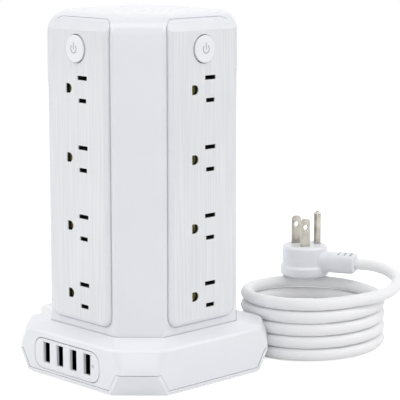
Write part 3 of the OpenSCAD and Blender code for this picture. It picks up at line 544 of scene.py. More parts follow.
@dataclass(frozen=True)
class NickelPlate(Finish):
    """Brass prongs, stamped and nickel plated: warm grey metal with fine draw lines."""

    name: str = "nickel_plate"
    colour: str = "#B9B5AC"
    shade: str = "#9E9A92"
    smooth: float = 0.16
    rough: float = 0.26
    metallic: float = 1.0
    cloud_mm: float = 6.0
    grain_mm: float = 0.35
    grain_lift_mm: float = 0.008
    along: Along = Along.UPRIGHT


@dataclass(frozen=True)
class PrintedInk(Finish):
    """Grey ink, pad printed: the power sign, matt and slightly broken at its edges."""

    name: str = "printed_ink"
    colour: str = "#92959A"
    shade: str = "#A0A3A8"
    smooth: float = 0.5
    rough: float = 0.64
    grain_mm: float = 0.2
    grain_lift_mm: float = 0.004
    grain_in_colour: float = 0.6


@dataclass(frozen=True)
class BlackWire(Finish):
    """PVC insulation, extruded: the live wires, black and satin."""

    name: str = "black_wire"
    colour: str = "#1A1A1C"
    shade: str = "#232326"
    smooth: float = 0.36
    rough: float = 0.48


@dataclass(frozen=True)
class WhiteWire(BlackWire):
    """The same insulation in white: the neutral wires, satin."""

    name: str = "white_wire"
    colour: str = "#E9E8E4"
    shade: str = "#DFDEDA"


@dataclass(frozen=True)
class GreenWire(BlackWire):
    """The same insulation in green: the earth wires, satin."""

    name: str = "green_wire"
    colour: str = "#2C8A48"
    shade: str = "#257A3F"


def slot_names(frame: dict[str, Any]) -> dict[str, str]:
    """Reads which material slot each CAD node has.


    Returns:
        The slot of each node.
    """
    return {part["node"]: part["material_slot"] for part in frame["record"]["subparts"]}


def new_object(name: str, data: bpy.types.ID, finishes: Sequence[Finish] = ()) -> bpy.types.Object:
    """Links an object with its finishes.

    Args:
        name: The object's name.
        data: Its mesh, curve, lamp or camera.
        finishes: Its finishes, in the order of the faces' material numbers.

    Returns:
        The object.
    """
    obj = bpy.data.objects.new(name, data)
    for finish in finishes:
        data.materials.append(finish.material())
    bpy.context.scene.collection.objects.link(obj)
    return obj


def from_work(work: bmesh.types.BMesh, name: str, finishes: Sequence[Finish] = ()) -> bpy.types.Object:
    """Makes an object of a mesh under work, with its faces turned outward.

    Args:
        work: The mesh under work, which is freed.
        name: The object's name.
        finishes: Its finishes.

    Returns:
        The object.
    """
    bmesh.ops.recalc_face_normals(work, faces=work.faces)
    mesh = bpy.data.meshes.new(name)
    work.to_mesh(mesh)
    work.free()
    return new_object(name, mesh, finishes)


def add_modifier(obj: bpy.types.Object, kind: str, **settings: Any) -> None:
    """Adds a modifier with its settings.

    Args:
        obj: The object that takes it.
        kind: The modifier's type.
        **settings: Its attributes.
    """
    modifier = obj.modifiers.new(kind.lower(), kind)
    for name, value in settings.items():
        setattr(modifier, name, value)


def settle(obj: bpy.types.Object) -> None:
    """Applies all modifiers of an object to its mesh.

    Args:
        obj: The object.
    """
    graph = bpy.context.evaluated_depsgraph_get()
    mesh = bpy.data.meshes.new_from_object(obj.evaluated_get(graph))
    obj.modifiers.clear()
    obj.data = mesh


def cut_out(obj: bpy.types.Object, cutter: bpy.types.Object) -> None:
    """Cuts a shape out of an object and takes the shape away.

    Args:
        obj: The object.
        cutter: The shape.
    """
    add_modifier(obj, "BOOLEAN", operation="DIFFERENCE", object=cutter, solver="EXACT")
    settle(obj)
    bpy.data.objects.remove(cutter)


def quarter(u: float, v: float, r: float, start_deg: float, steps: int) -> Outline:
    """Lists the points of a quarter round.

    Args:
        u: Its middle's first place.
        v: Its middle's second place.
        r: Its radius.
        start_deg: The angle at which it starts.
        steps: The steps in it.

    Returns:
        The points.
    """
    angles = [math.radians(start_deg + 90 * i / steps) for i in range(steps + 1)]
    return [(u + r * math.cos(a), v + r * math.sin(a)) for a in angles]


def turned(outline: Outline, sides: int) -> list[list[Vector]]:
    """Works out the rings of a shape that is turned about the Z axis.

    Args:
        outline: Its outline, as radius and height.
        sides: The steps round.

    Returns:
        The rings, one for each point of the outline.
    """
    angles = [2 * math.pi * i / sides for i in range(sides)]
    return [[Vector((r * math.cos(a), r * math.sin(a), z)) for a in angles] for r, z in outline]


def ringed(mesh: bmesh.types.BMesh, rings: Sequence[Sequence[Vector]], closed_ends: bool = True) -> None:
    """Adds a skin through rings of points.

    Args:
        mesh: The mesh that takes it.
        rings: The rings, each with the same number of points.
        closed_ends: Whether the first and last ring get a face.
    """
    rows = [[mesh.verts.new(p) for p in ring] for ring in rings]
    count = len(rows[0])
    for low, high in zip(rows, rows[1:]):
        for i in range(count):
            mesh.faces.new((low[i], low[(i + 1) % count], high[(i + 1) % count], high[i]))
    if closed_ends:
        mesh.faces.new(list(reversed(rows[0])))
        mesh.faces.new(rows[-1])


@dataclass
class FairShell:
    """A rigid CAD node as it leaves the mould: the same solid with rounded edges and smooth shading."""

    frame: dict[str, Any]
    node: str
    finish: Finish
    edge_mm: float = 0.25
    edge_steps: int = 2
    sharp_deg: float = 32.0
    flat_deg: float = 0.4
    normal_weight: int = 80
    second: Finish | None = None
    in_second: Callable[[Vector, Vector], bool] | None = None
    carving: Callable[[bpy.types.Object], bpy.types.Object] | None = None

    def skin(self, name: str) -> bpy.types.Mesh:
        """Copies the node's mesh, with whole flat faces and smooth shading up to its sharp edges.

        Args:
            name: The new mesh's name.

        Returns:
            The mesh.
        """
        work = bmesh.new()
        work.from_mesh(self.frame["nodes"][self.node].data)
        bmesh.ops.remove_doubles(work, verts=work.verts, dist=WELD)
        flat = math.radians(self.flat_deg)
        bmesh.ops.dissolve_limit(work, angle_limit=flat, verts=work.verts, edges=work.edges)
        work.normal_update()
        for face in work.faces:
            face.smooth = True
            face.material_index = 0
            if self.in_second and self.in_second(face.calc_center_median(), face.normal):
                face.material_index = 1
        for edge in work.edges:
            edge.smooth = edge.calc_face_angle(0.0) < math.radians(self.sharp_deg)
        mesh = bpy.data.meshes.new(name)
        work.to_mesh(mesh)
        work.free()
        if "custom_normal" in mesh.attributes:
            mesh.attributes.remove(mesh.attributes["custom_normal"])
        return mesh

    def carve(self, obj: bpy.types.Object) -> None:
        """Cuts the carving's shape out of the piece and marks its sharp edges again.

        Args:
            obj: The piece, whose bevel is settled first.
        """
        settle(obj)
        cut_out(obj, self.carving(obj))
        obj.data.set_sharp_from_angle(angle=math.radians(self.sharp_deg))

    def build(self) -> bpy.types.Object:
        """Makes the piece and puts it in the node's place.

        Returns:
            The piece.
        """
        name = f"{self.node}_moulded"
        finishes = [self.finish] if self.second is None else [self.finish, self.second]
        obj = new_object(name, self.skin(name), finishes)
        if self.edge_mm:
            add_modifier(
                obj,
                "BEVEL",
                width=self.edge_mm * MM,
                segments=self.edge_steps,
                limit_method="ANGLE",
                angle_limit=math.radians(self.sharp_deg),
            )
        if self.carving:
            self.carve(obj)
        add_modifier(obj, "WEIGHTED_NORMAL", keep_sharp=True, weight=self.normal_weight)
        bodies = self.frame["record"]["behaviour"]["bodies"]
        body = next(body for body, members in bodies.items() if self.node in members)
        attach(obj, body)
        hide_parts(self.node)
        return obj


class Side(Enum):
    """The tower's four outlet sides, with the turn of each from the front in degrees."""

    FRONT = 0
    RIGHT = 90
    BACK = 180
    LEFT = 270

    @property
    def label(self) -> str:
        """The side's name in the nodes."""
        return self.name.lower()

    @property
    def outward(self) -> Vector:
        """The direction out of the side."""
        return self.turn() @ Vector((0, -1, 0))

    @property
    def sideways(self) -> Vector:
        """The direction across the side, to the right of someone who faces it."""
        return self.turn() @ Vector((1, 0, 0))

    def turn(self) -> Matrix:
        """The turn from the front side to this one."""
        return Matrix.Rotation(math.radians(self.value), 4, "Z")

    def reach(self, node: str) -> float:
        """How far out of the side a node comes."""
        return max(corner.dot(self.outward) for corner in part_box(node))


@dataclass
class Cord:
    """The mains cord: one jacket from the strain relief, round the coil and up to the plug."""

    diameter: float = 0.0072
    # The real jacket is a little fuller than the tube of the frame, so the turns nearly touch
    jacket: float = 0.0074
    # Half a flat of the frame's tube, on which the first turn lies
    half_flat_deg: float = 15.0
    curve_steps: int = 4
    round_steps: int = 6
    base_half: float = 0.0592
    gland_length: float = 0.024
    gland_exit: Point = (-0.0592, 0.006, 0.014)
    in_gland: float = 0.008
    in_plug: float = 0.006
    coil_middle: tuple[float, float] = (0.0388, 0.1048)
    coil_radius: float = 0.0408
    coil_climb: float = 0.0077
    coil_turns: float = 4.2
    coil_points: int = 24
    neck_end: Point = (0.03826, 0.1456, 0.04542)
    neck_turn_deg: float = 25.376
    # Over the floor, from the corner where the base's left and back sides would meet
    lead_route: tuple[Point, ...] = (
        (-0.0428, -0.0507, 0.0132),
        (-0.0528, -0.0437, 0.0116),
        (-0.0588, -0.0332, 0.0094),
        (-0.0603, -0.0212, 0.0072),
        (-0.0563, -0.0097, 0.0054),
        (-0.0483, -0.0007, 0.0044),
        (-0.0373, 0.0043, 0.0039),
        (-0.0248, 0.0048, 0.0038),
        (-0.0098, 0.0048, 0.0038),
        (0.0052, 0.0048, 0.0038),
        (0.0202, 0.0048, 0.0038),
        (0.0352, 0.0048, 0.0038),
        (0.0502, 0.0048, 0.0038),
        (0.0652, 0.0048, 0.0038),
        (0.0772, 0.0048, 0.0038),
    )
    # Over the top turn, up to the plug's neck, from the coil's middle
    tail_route: tuple[Point, ...] = (
        (0.0422, -0.0023, 0.0365),
        (0.0442, 0.0057, 0.0368),
        (0.0447, 0.0142, 0.0374),
        (0.0437, 0.0232, 0.0385),
        (0.0407, 0.0312, 0.0398),
        (0.0357, 0.0382, 0.0413),
        (0.0277, 0.0432, 0.0430),
        (0.0187, 0.0457, 0.0443),
        (0.0112, 0.0452, 0.0451),
    )

    @property
    def tip(self) -> Vector:
        """The place where the cord comes out of the strain relief."""
        return Vector(self.gland_exit) - Vector((self.gland_length, 0, 0))

    def coil_at(self, turns: float) -> Vector:
        """Works out a place on the coil's middle line.

        Args:
            turns: The number of turns up to there.

        Returns:
            The place.
        """
        angle = 2 * math.pi * turns - math.pi / 2
        lift = self.diameter / 2 * (2 - math.cos(math.radians(self.half_flat_deg)))
        x = self.coil_middle[0] + self.coil_radius * math.cos(angle)
        y = self.coil_middle[1] + self.coil_radius * math.sin(angle)
        return Vector((x, y, lift + self.coil_climb * turns))

    def route(self) -> list[Vector]:
        """Lists the points of the whole cord, from inside the strain relief to inside the plug.

        Returns:
            The points.
        """
        step = Vector((self.diameter, 0, 0))
        corner = Vector((-self.base_half, self.base_half, 0))
        steps = math.ceil(self.coil_turns * self.coil_points)
        middle = Vector((*self.coil_middle, 0))
        turn = math.radians(self.neck_turn_deg)
        neck = Vector((math.cos(turn), math.sin(turn), 0))
        points = [self.tip + Vector((self.in_gland, 0, 0)), self.tip, self.tip - step]
        points += [corner + Vector(p) for p in self.lead_route]
        points += [self.coil_at(0) - 2 * step, self.coil_at(0) - step]
        points += [self.coil_at(self.coil_turns * i / steps) for i in range(steps + 1)]
        points += [middle + Vector(p) for p in self.tail_route]
        end = Vector(self.neck_end)
        points += [end + self.diameter * neck, end, end - self.in_plug * neck]
        return points

    def build(self, finish: Finish) -> bpy.types.Object:
        """Makes the cord as one smooth curve with a round section.

        Args:
            finish: The jacket's finish.

        Returns:
            The cord.
        """
        data = bpy.data.curves.new("mains_cord", "CURVE")
        data.dimensions = "3D"
        data.resolution_u = self.curve_steps
        data.bevel_depth = self.jacket / 2
        data.bevel_resolution = self.round_steps
        data.use_fill_caps = True
        points = self.route()
        spline = data.splines.new("BEZIER")
        spline.bezier_points.add(len(points) - 1)
        for knot, place in zip(spline.bezier_points, points):
            knot.co = place
            knot.handle_left_type = knot.handle_right_type = "AUTO"
        cord = new_object("mains_cord", data, [finish])
        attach(cord, TOWER)
        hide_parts("cord_lead", "cord_coil", "cord_tail")
        return cord

    def declare(self) -> None:
        points = self.route()


@dataclass
class Plug:
    """The round moulded plug: two discs with a soft groove, a neck that blends in, and three bend slots."""

    frame: dict[str, Any]
    finish: Finish
    metal: Finish
    back_r: float = 15.6 * MM
    front_r: float = 14.4 * MM
    back_t: float = 6.5 * MM
    full_t: float = 19.5 * MM
    edge_r: float = 1.8 * MM
    back_edge_r: float = 0.9 * MM
    ledge_out: float = 0.18 * MM
    ledge_up: float = 0.54 * MM
    disc_sides: int = 72
    round_steps: int = 6
    reach: float = 34 * MM
    neck_from: float = 6.48 * MM
    neck_w: float = 14 * MM
    neck_flare: float = 5 * MM
    neck_t: float = 12.6 * MM
    neck_lift: float = 3 * MM
    neck_steps: int = 16
    neck_end_steps: int = 4
    neck_sides: int = 32
    # The power of the neck's section: 2 is an ellipse, and more is squarer
    neck_square: float = 3.6
    prong_turn_deg: float = 45
    prong_edge_mm: float = 0.15
    # From the line of the two blades to the discs' middle
    blades_off: float = 2.975 * MM
    cord_r: float = 3.6 * MM
    ring_gap: float = 0.35 * MM
    ring_depth: float = 1.2 * MM
    ring_sides: int = 40
    slot_size: Point = (1.3 * MM, 10 * MM, 2.5 * MM)
    slot_pitch: float = 3.9 * MM
    slot_count: int = 3
    slot_half_steps: int = 12
    voxel: float = 0.42 * MM
    softening: float = 0.5
    soften_times: int = 14
    sharp_deg: float = 40

    def place(self) -> Matrix:
        """Works out the plug's place from its prongs.

        Returns:
            The matrix from the plug's own frame, with its back on z = 0 and its neck along +X.
        """
        neutral, live, ground = [(low + high) / 2 for low, high in map(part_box, PRONGS)]
        blades = (neutral + live) / 2
        towards = ground - blades
        towards.z = 0
        towards.normalize()
        centre = blades + towards * self.blades_off
        centre.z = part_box("plug_body")[0].z
        angle = math.atan2(towards.y, towards.x) - math.radians(self.prong_turn_deg)
        return Matrix.Translation(centre) @ Matrix.Rotation(angle, 4, "Z")

    def profile(self) -> Outline:
        """Lists the discs' outline as radius and height, from the back's edge to the front's.

        Returns:
            The points.
        """
        edge, half, steps = self.edge_r, self.back_edge_r, self.round_steps
        return [
            *quarter(self.back_r - edge, edge, edge, -90, steps),
            *quarter(self.back_r - half, self.back_t - half, half, 0, steps),
            (self.front_r + self.ledge_out, self.back_t),
            (self.front_r, self.back_t + self.ledge_up),
            *quarter(self.front_r - edge, self.full_t - edge, edge, 0, steps),
        ]

    def neck(self, work: bmesh.types.BMesh) -> None:
        """Adds the neck: a rounded box that widens towards the discs and rolls over at its end.

        Args:
            work: The mesh that takes it.
        """
        straight = self.reach - self.edge_r
        rings = []
        for i in range(self.neck_steps + 1):
            share = i / self.neck_steps
            x = self.neck_from + (straight - self.neck_from) * share
            rings.append(self.section(x, self.neck_w + self.neck_flare * (1 - share) ** 2, self.neck_t))
        for i in range(1, self.neck_end_steps + 1):
            a = math.radians(90 * i / self.neck_end_steps)
            inset = self.edge_r * (1 - math.cos(a))
            x = straight + self.edge_r * math.sin(a)
            rings.append(self.section(x, self.neck_w - 2 * inset, self.neck_t - 2 * inset))
        ringed(work, rings)

    def section(self, x: float, width: float, height: float) -> list[Vector]:
        """Works out one rounded section of the neck.

        Args:
            x: Its place along the neck.
            width: Its width.
            height: Its height.

        Returns:
            The points.
        """
        middle = self.neck_lift + self.neck_t / 2
        power = 2 / self.neck_square
        points = []
        for i in range(self.neck_sides):
            a = 2 * math.pi * i / self.neck_sides
            c, s = math.cos(a), math.sin(a)
            y = math.copysign(abs(c) ** power, c) * width / 2
            z = math.copysign(abs(s) ** power, s) * height / 2
            points.append(Vector((x, y, middle + z)))
        return points

    def slot_outline(self, x: float) -> Outline:
        """Lists the outline of one bend slot, seen from above: long across the neck, with round ends.

        Args:
            x: Its middle along the neck.

        Returns:
            The points.
        """
        width, length, _ = self.slot_size
        points = []
        for k in range(2 * self.slot_half_steps):
            a = math.pi * k / self.slot_half_steps
            straight = (length - width) / 2 if k % self.slot_half_steps else 0.0
            shift = math.copysign(straight, math.sin(a))
            points.append((x + width / 2 * math.cos(a), shift + width / 2 * math.sin(a)))
        return points

    def cutters(self) -> bpy.types.Object:
        """Makes the shapes of the bend slots and of the ring round the cord.

        Returns:
            One object with all of them.
        """
        work = bmesh.new()
        top = self.neck_lift + self.neck_t
        width, _, depth = self.slot_size
        for i in range(self.slot_count):
            outline = self.slot_outline(self.reach - self.slot_pitch * (i + 1) + width)
            ringed(work, [[Vector((u, v, top + lift)) for u, v in outline] for lift in (-depth, depth)])
        middle = self.neck_lift + self.neck_t / 2
        radius = self.cord_r + self.ring_gap
        ends = [(radius, self.reach - self.ring_depth), (radius, self.reach + self.ring_depth)]
        rings = turned(ends, self.ring_sides)
        ringed(work, [[Vector((p.z, p.x, middle + p.y)) for p in ring] for ring in rings])
        return from_work(work, "plug_cutters")

    def body(self) -> bpy.types.Object:
        """Makes the moulded body as one skin: discs and neck grown together and softened.

        Returns:
            The body.
        """
        work = bmesh.new()
        ringed(work, turned(self.profile(), self.disc_sides))
        self.neck(work)
        body = from_work(work, "plug_body_moulded")
        add_modifier(body, "REMESH", mode="VOXEL", voxel_size=self.voxel)
        add_modifier(body, "SMOOTH", factor=self.softening, iterations=self.soften_times)
        settle(body)
        cut_out(body, self.cutters())
        body.data.materials.clear()
        body.data.materials.append(self.finish.material())
        for polygon in body.data.polygons:
            polygon.material_index = 0
            polygon.use_smooth = True
        body.data.set_sharp_from_angle(angle=math.radians(self.sharp_deg))
        body.data.transform(self.place())
        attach(body, TOWER)
        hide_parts("plug_body")
        return body

    def build(self) -> list[bpy.types.Object]:
        """Makes the body and its prongs.

        Returns:
            The pieces.
        """
        prongs = [FairShell(self.frame, node, self.metal, edge_mm=self.prong_edge_mm) for node in PRONGS]
        return [self.body(), *[prong.build() for prong in prongs]]


@dataclass
class Housing:
    """Column, base cover, bottom plate and USB panel, with fine grooves along their seams."""

    frame: dict[str, Any]
    column: Finish
    base: Finish
    base_edge_mm: float = 0.07
    panel_edge_mm: float = 0.12
    column_edge_mm: float = 0.2
    low_corner_r: float = 6.2 * MM
    high_corner_r: float = 8 * MM
    groove_out: float = 0.2 * MM
    groove_over: float = 1.7 * MM
    groove_w: float = 0.6 * MM
    groove_depth: float = 0.55 * MM
    panel_corner_r: float = 6.5 * MM
    panel_groove_out: float = 0.4 * MM
    panel_groove_w: float = 0.26 * MM
    foot_z: float = 30.42 * MM
    foot_half: float = 28.4 * MM
    foot_groove_w: float = 0.34 * MM
    ports: int = 4
    mouth_lead: float = 0.4 * MM
    mouth_out: float = 0.1 * MM
    mouth_past: float = 0.05 * MM
    # Points of the panel's front this far across and up from a port's middle belong to its mouth
    mouth_within: tuple[float, float] = (5 * MM, 7 * MM)
    corner_steps: int = 8
    straight_steps: int = 14
    look_from: float = 80 * MM
    look_far: float = 50 * MM

    def outline(self, half: float, low: float, high: float, r: float, s: float) -> Outline:
        """Lists a rounded outline on a side, as places across and heights.

        Its long straights have points between, so that a bar on them follows the skin.

        Args:
            half: Half its width.
            low: Its lowest height.
            high: Its greatest height.
            r: The radius of its upper corners.
            s: The radius of its lower corners.

        Returns:
            The points, all the way round.
        """
        steps = self.corner_steps
        points = [
            *quarter(half - r, high - r, r, 0, steps),
            *quarter(r - half, high - r, r, 90, steps),
            *quarter(s - half, low + s, s, 180, steps),
            *quarter(half - s, low + s, s, 270, steps),
        ]
        full = []
        for first, last in zip(points, points[1:] + points[:1]):
            parts = self.straight_steps if math.dist(first, last) > 2 * r else 1
            for i in range(parts):
                full.append(tuple(p + (q - p) * i / parts for p, q in zip(first, last)))
        return full

    def grooves(self, column: bpy.types.Object) -> bpy.types.Object:
        """Makes the shape of the grooves round the plates and along the foot, laid on the column's skin.

        Args:
            column: The column.

        Returns:
            One object with all bars.
        """
        work = bmesh.new()
        steps = self.straight_steps
        foot = [(self.foot_half * (2 * i / steps - 1), self.foot_z) for i in range(steps + 1)]
        for side in Side:
            low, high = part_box(f"face_plate_{side.label}")
            half = abs((high - low).dot(side.sideways)) / 2 + self.groove_out
            bottom, top = low.z - self.groove_out, high.z + self.groove_over
            path = self.outline(half, bottom, top, self.high_corner_r, self.low_corner_r)
            self.add_bar(work, column, side, 0.0, path, self.groove_w)
            self.add_bar(work, column, side, 0.0, foot, self.foot_groove_w, closed=False)
        return self.as_cutter(work, "column_grooves")

    def panel_face(self) -> list[Vector]:
        """Lists the points of the USB panel's flat front.

        Returns:
            The points, from the panel's CAD node.
        """
        places = [v.co for v in self.frame["nodes"]["usb_panel"].data.vertices]
        front = min(p.y for p in places)
        return [p for p in places if p.y < front + ON_FRONT]

    def panel_groove(self, base: bpy.types.Object) -> bpy.types.Object:
        """Makes the shape of the groove round the USB panel, laid on the base's skin.

        Args:
            base: The base cover.

        Returns:
            The closed bar.
        """
        work = bmesh.new()
        left, right, bottom, top = self.limits(self.panel_face())
        out = self.panel_groove_out
        r = self.panel_corner_r + out
        path = self.outline((right - left) / 2 + out, bottom - out, top + out, r, r)
        self.add_bar(work, base, Side.FRONT, (left + right) / 2, path, self.panel_groove_w)
        return self.as_cutter(work, "panel_groove")

    def mouths(self, panel: bpy.types.Object) -> bpy.types.Object:
        """Makes the shape of the slopes that lead into the USB mouths.

        Args:
            panel: The USB panel.

        Returns:
            One object with a wedge for each mouth.
        """
        work = bmesh.new()
        front = min(v.co.y for v in panel.data.vertices)
        face = self.panel_face()
        wide, tall = self.mouth_within
        for i in range(1, self.ports + 1):
            low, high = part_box(f"usb_shell_{i}")
            middle = (low + high) / 2
            rim = [p for p in face if abs(p.x - middle.x) < wide and abs(p.z - middle.z) < tall]
            left, right, bottom, top = self.limits(rim)
            rings = []
            for depth in (-self.mouth_out, self.mouth_lead + self.mouth_past):
                more = self.mouth_lead - depth
                corners = (
                    (left - more, bottom - more),
                    (right + more, bottom - more),
                    (right + more, top + more),
                    (left - more, top + more),
                )
                rings.append([Vector((x, front + depth, z)) for x, z in corners])
            ringed(work, rings)
        return self.as_cutter(work, "usb_mouths")

    @staticmethod
    def limits(points: Sequence[Vector]) -> tuple[float, float, float, float]:
        """Finds how far points of the front reach.

        Args:
            points: The points.

        Returns:
            Left, right, bottom and top.
        """
        across, heights = [p.x for p in points], [p.z for p in points]
        return min(across), max(across), min(heights), max(heights)

    def add_bar(
        self,
        work: bmesh.types.BMesh,
        skin: bpy.types.Object,
        side: Side,
        middle: float,
        path: Outline,
        width: float,
        closed: bool = True,
    ) -> None:
        """Adds a square bar that follows a path over a piece's skin.

        Args:
            work: The mesh that takes it.
            skin: The piece.
            side: The side that the path lies on.
            middle: The path's middle across the side.
            path: The path, as places across and heights.
            width: The bar's width.
            closed: Whether the path comes back to its start.
        """
        outward, sideways = side.outward, side.sideways
        met = []
        for u, v in path:
            start = outward * self.look_from + sideways * (middle + u) + Vector((0, 0, v))
            hit, place, normal, _ = skin.ray_cast(start, -outward, distance=self.look_far)
            if not hit:
                raise RuntimeError(f"no {skin.name} behind the groove at {u:.4f}, {v:.4f}")
            met.append((place, normal))
        rings = []
        count = len(met)
        for i, (place, normal) in enumerate(met):
            after = (i + 1) % count if closed else min(i + 1, count - 1)
            before = i - 1 if closed else max(i - 1, 0)
            ahead = (met[after][0] - met[before][0]).normalized()
            across = normal.cross(ahead).normalized() * width / 2
            lift = normal * self.groove_depth
            near, far = place - across, place + across
            rings.append([near - lift, far - lift, far + lift, near + lift])
        ringed(work, [*rings, rings[0]] if closed else rings, closed_ends=not closed)

    @staticmethod
    def as_cutter(work: bmesh.types.BMesh, name: str) -> bpy.types.Object:
        """Makes a cutter of finished bars, and joins a closed bar's ends.

        Args:
            work: The bars.
            name: The object's name.

        Returns:
            The object.
        """
        bmesh.ops.remove_doubles(work, verts=work.verts, dist=WELD)
        return from_work(work, name)

    def build(self) -> list[bpy.types.Object]:
        """Makes the housing's shells.

        Returns:
            The pieces.
        """
        parts = (
            ("base_bottom", self.base, self.base_edge_mm, None),
            ("usb_panel", self.base, self.panel_edge_mm, self.mouths),
            ("base_shell", self.base, self.base_edge_mm, self.panel_groove),
            ("column_shell", self.column, self.column_edge_mm, self.grooves),
        )
        return [
            FairShell(self.frame, node, finish, edge_mm=edge, carving=carving).build()
            for node, finish, edge, carving in parts
        ]


@dataclass
class FacePlates:
    """The four face plates: fine upright lines on the front, polished slopes round it in a darker copy of the
    ABS as painted shade.
    """

    frame: dict[str, Any]
    front: Finish
    slopes: Finish
    edge_mm: float = 0.22
    sharp_deg: float = 24.0
    # The least cosine between a face of the front and the way out
    facing: float = 0.999

    def front_test(self, side: Side) -> Callable[[Vector, Vector], bool]:
        """Makes the test for a face of a plate's flat front.

        Args:
            side: The plate's side.

        Returns:
            A function that takes a face's middle and normal.
        """
        outward, reach = side.outward, side.reach(f"face_plate_{side.label}")

        def on_front(middle: Vector, normal: Vector) -> bool:
            """Whether a face lies in the plate's flat front."""
            return normal.dot(outward) > self.facing and abs(middle.dot(outward) - reach) < ON_FRONT

        return on_front

    def build(self) -> list[bpy.types.Object]:
        """Makes the plates.

        Returns:
            The pieces.
        """
        pieces = []
        for side in Side:
            shell = FairShell(
                self.frame,
                f"face_plate_{side.label}",
                self.slopes,
                edge_mm=self.edge_mm,
                sharp_deg=self.sharp_deg,
                second=self.front,
                in_second=self.front_test(side),
            )
            pieces.append(shell.build())
        return pieces


@dataclass
class PowerButtons:
    """The four round buttons, drawn in behind their rims, with their printed power signs."""

    frame: dict[str, Any]
    cap: Finish
    ink: Finish
    sharp_deg: float = 50.0
    crown: float = 0.5 * MM
    rim_r: float = 0.9 * MM
    waist: float = 0.4 * MM
    waist_from: float = 1.35 * MM
    wall_within: float = 0.1 * MM
    cut_within: float = 0.01 * MM
    sign_r: float = 2.3 * MM
    stroke: float = 0.55 * MM
    gap_deg: float = 38.0
    arc_steps: int = 28
    bar: tuple[float, float] = (-0.3 * MM, 3.7 * MM)
    bar_steps: int = 4
    proud: float = 0.04 * MM

    def face(self, side: Side) -> tuple[Vector, float]:
        """Finds a button's face in its CAD node.

        Args:
            side: The button's side.

        Returns:
            The face's middle, and its radius.
        """
        node = f"power_button_{side.label}"
        low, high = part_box(node)
        middle = side.outward * side.reach(node) + Vector((0, 0, (high.z + low.z) / 2))
        return middle, (high.z - low.z) / 2

    def sign(self, side: Side) -> bpy.types.Object:
        """Makes one power sign, laid on the button's crown.

        Args:
            side: The button's side.

        Returns:
            The sign.
        """
        middle, radius = self.face(side)
        outward, sideways = side.outward, side.sideways
        crown_r = radius - self.rim_r

        def on_crown(u: float, v: float, lift: float) -> Vector:
            """A point over the crown, from its place on the face."""
            drop = self.crown * (u * u + v * v) / (crown_r * crown_r)
            return middle + outward * (lift - drop) + sideways * u + Vector((0, 0, v))

        def section(near: tuple[float, float], far: tuple[float, float]) -> list[Vector]:
            """A stroke's section, from the places of its two edges on the face."""
            corners = ((near, -self.proud), (far, -self.proud), (far, self.proud), (near, self.proud))
            return [on_crown(*edge, lift) for edge, lift in corners]

        half = self.stroke / 2
        inner, outer = self.sign_r - half, self.sign_r + half
        arc = []
        for i in range(self.arc_steps + 1):
            a = math.radians(90 + self.gap_deg + (360 - 2 * self.gap_deg) * i / self.arc_steps)
            c, s = math.cos(a), math.sin(a)
            arc.append(section((c * inner, s * inner), (c * outer, s * outer)))
        bar = []
        for i in range(self.bar_steps + 1):
            v = self.bar[0] + (self.bar[1] - self.bar[0]) * i / self.bar_steps
            bar.append(section((-half, v), (half, v)))
        work = bmesh.new()
        ringed(work, arc)
        ringed(work, bar)
        sign = from_work(work, f"power_sign_{side.label}", [self.ink])
        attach(sign, f"button_{side.label}")
        return sign

    def draw_in(self, cap: bpy.types.Object, side: Side) -> None:
        """Narrows a button's wall behind its rim, as the tool's draft does.

        Args:
            cap: The button.
            side: Its side.
        """
        middle, radius = self.face(side)
        outward = side.outward
        work = bmesh.new()
        work.from_mesh(cap.data)
        every = work.verts[:] + work.edges[:] + work.faces[:]
        cut = middle - outward * self.waist_from
        bmesh.ops.bisect_plane(work, geom=every, plane_co=cut, plane_no=outward, dist=self.cut_within)
        for vert in work.verts:
            away = vert.co - middle
            depth = -away.dot(outward)
            across = away + outward * depth
            if depth > self.waist_from - ON_FRONT and across.length > radius - self.wall_within:
                vert.co -= across.normalized() * self.waist
        work.to_mesh(cap.data)
        work.free()

    def build(self) -> list[bpy.types.Object]:
        """Makes the buttons and their signs.

        Returns:
            The pieces.
        """
        pieces = []
        for side in Side:
            node = f"power_button_{side.label}"
            cap = FairShell(self.frame, node, self.cap, edge_mm=0.0, sharp_deg=self.sharp_deg).build()
            self.draw_in(cap, side)
            pieces.append(cap)
            pieces.append(self.sign(side))
        return pieces


@dataclass
class LampWindow:
    """The lamp's light guide: a round rod whose small domed head closes its hole in the USB panel."""

    frame: dict[str, Any]
    finish: Finish
    head_r: float = 1.15 * MM
    head_t: float = 0.22 * MM
    edge_r: float = 0.12 * MM
    tip_r: float = 0.05 * MM
    dome_steps: int = 5
    sides: int = 32
    sharp_deg: float = 40.0

    def build(self) -> bpy.types.Object:
        """Turns the rod with its head from one outline.

        Returns:
            The window.
        """
        low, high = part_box("lamp_window")
        rod_r = (high.x - low.x) / 2
        middle = Vector(((low.x + high.x) / 2, low.y, (low.z + high.z) / 2))
        outline = [(rod_r, high.y - low.y), (rod_r, 0.0), (self.head_r, 0.0)]
        outline.append((self.head_r, self.edge_r - self.head_t))
        for i in range(1, self.dome_steps + 1):
            share = i / self.dome_steps
            a = math.radians(90 * share)
            inset = (self.head_r - self.edge_r) * (1 - math.cos(a)) + self.edge_r * math.sin(a)
            lift = self.head_t * math.sin(math.radians(45 + 45 * share))
            outline.append((max(self.head_r - inset, self.tip_r), -lift))
        work = bmesh.new()
        rings = turned(outline, self.sides)
        ringed(work, [[middle + Vector((p.x, p.z, p.y)) for p in ring] for ring in rings])
        window = from_work(work, "lamp_window_moulded", [self.finish])
        window.data.shade_smooth()
        window.data.set_sharp_from_angle(angle=math.radians(self.sharp_deg))
        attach(window, TOWER)
        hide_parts("lamp_window")
        return window


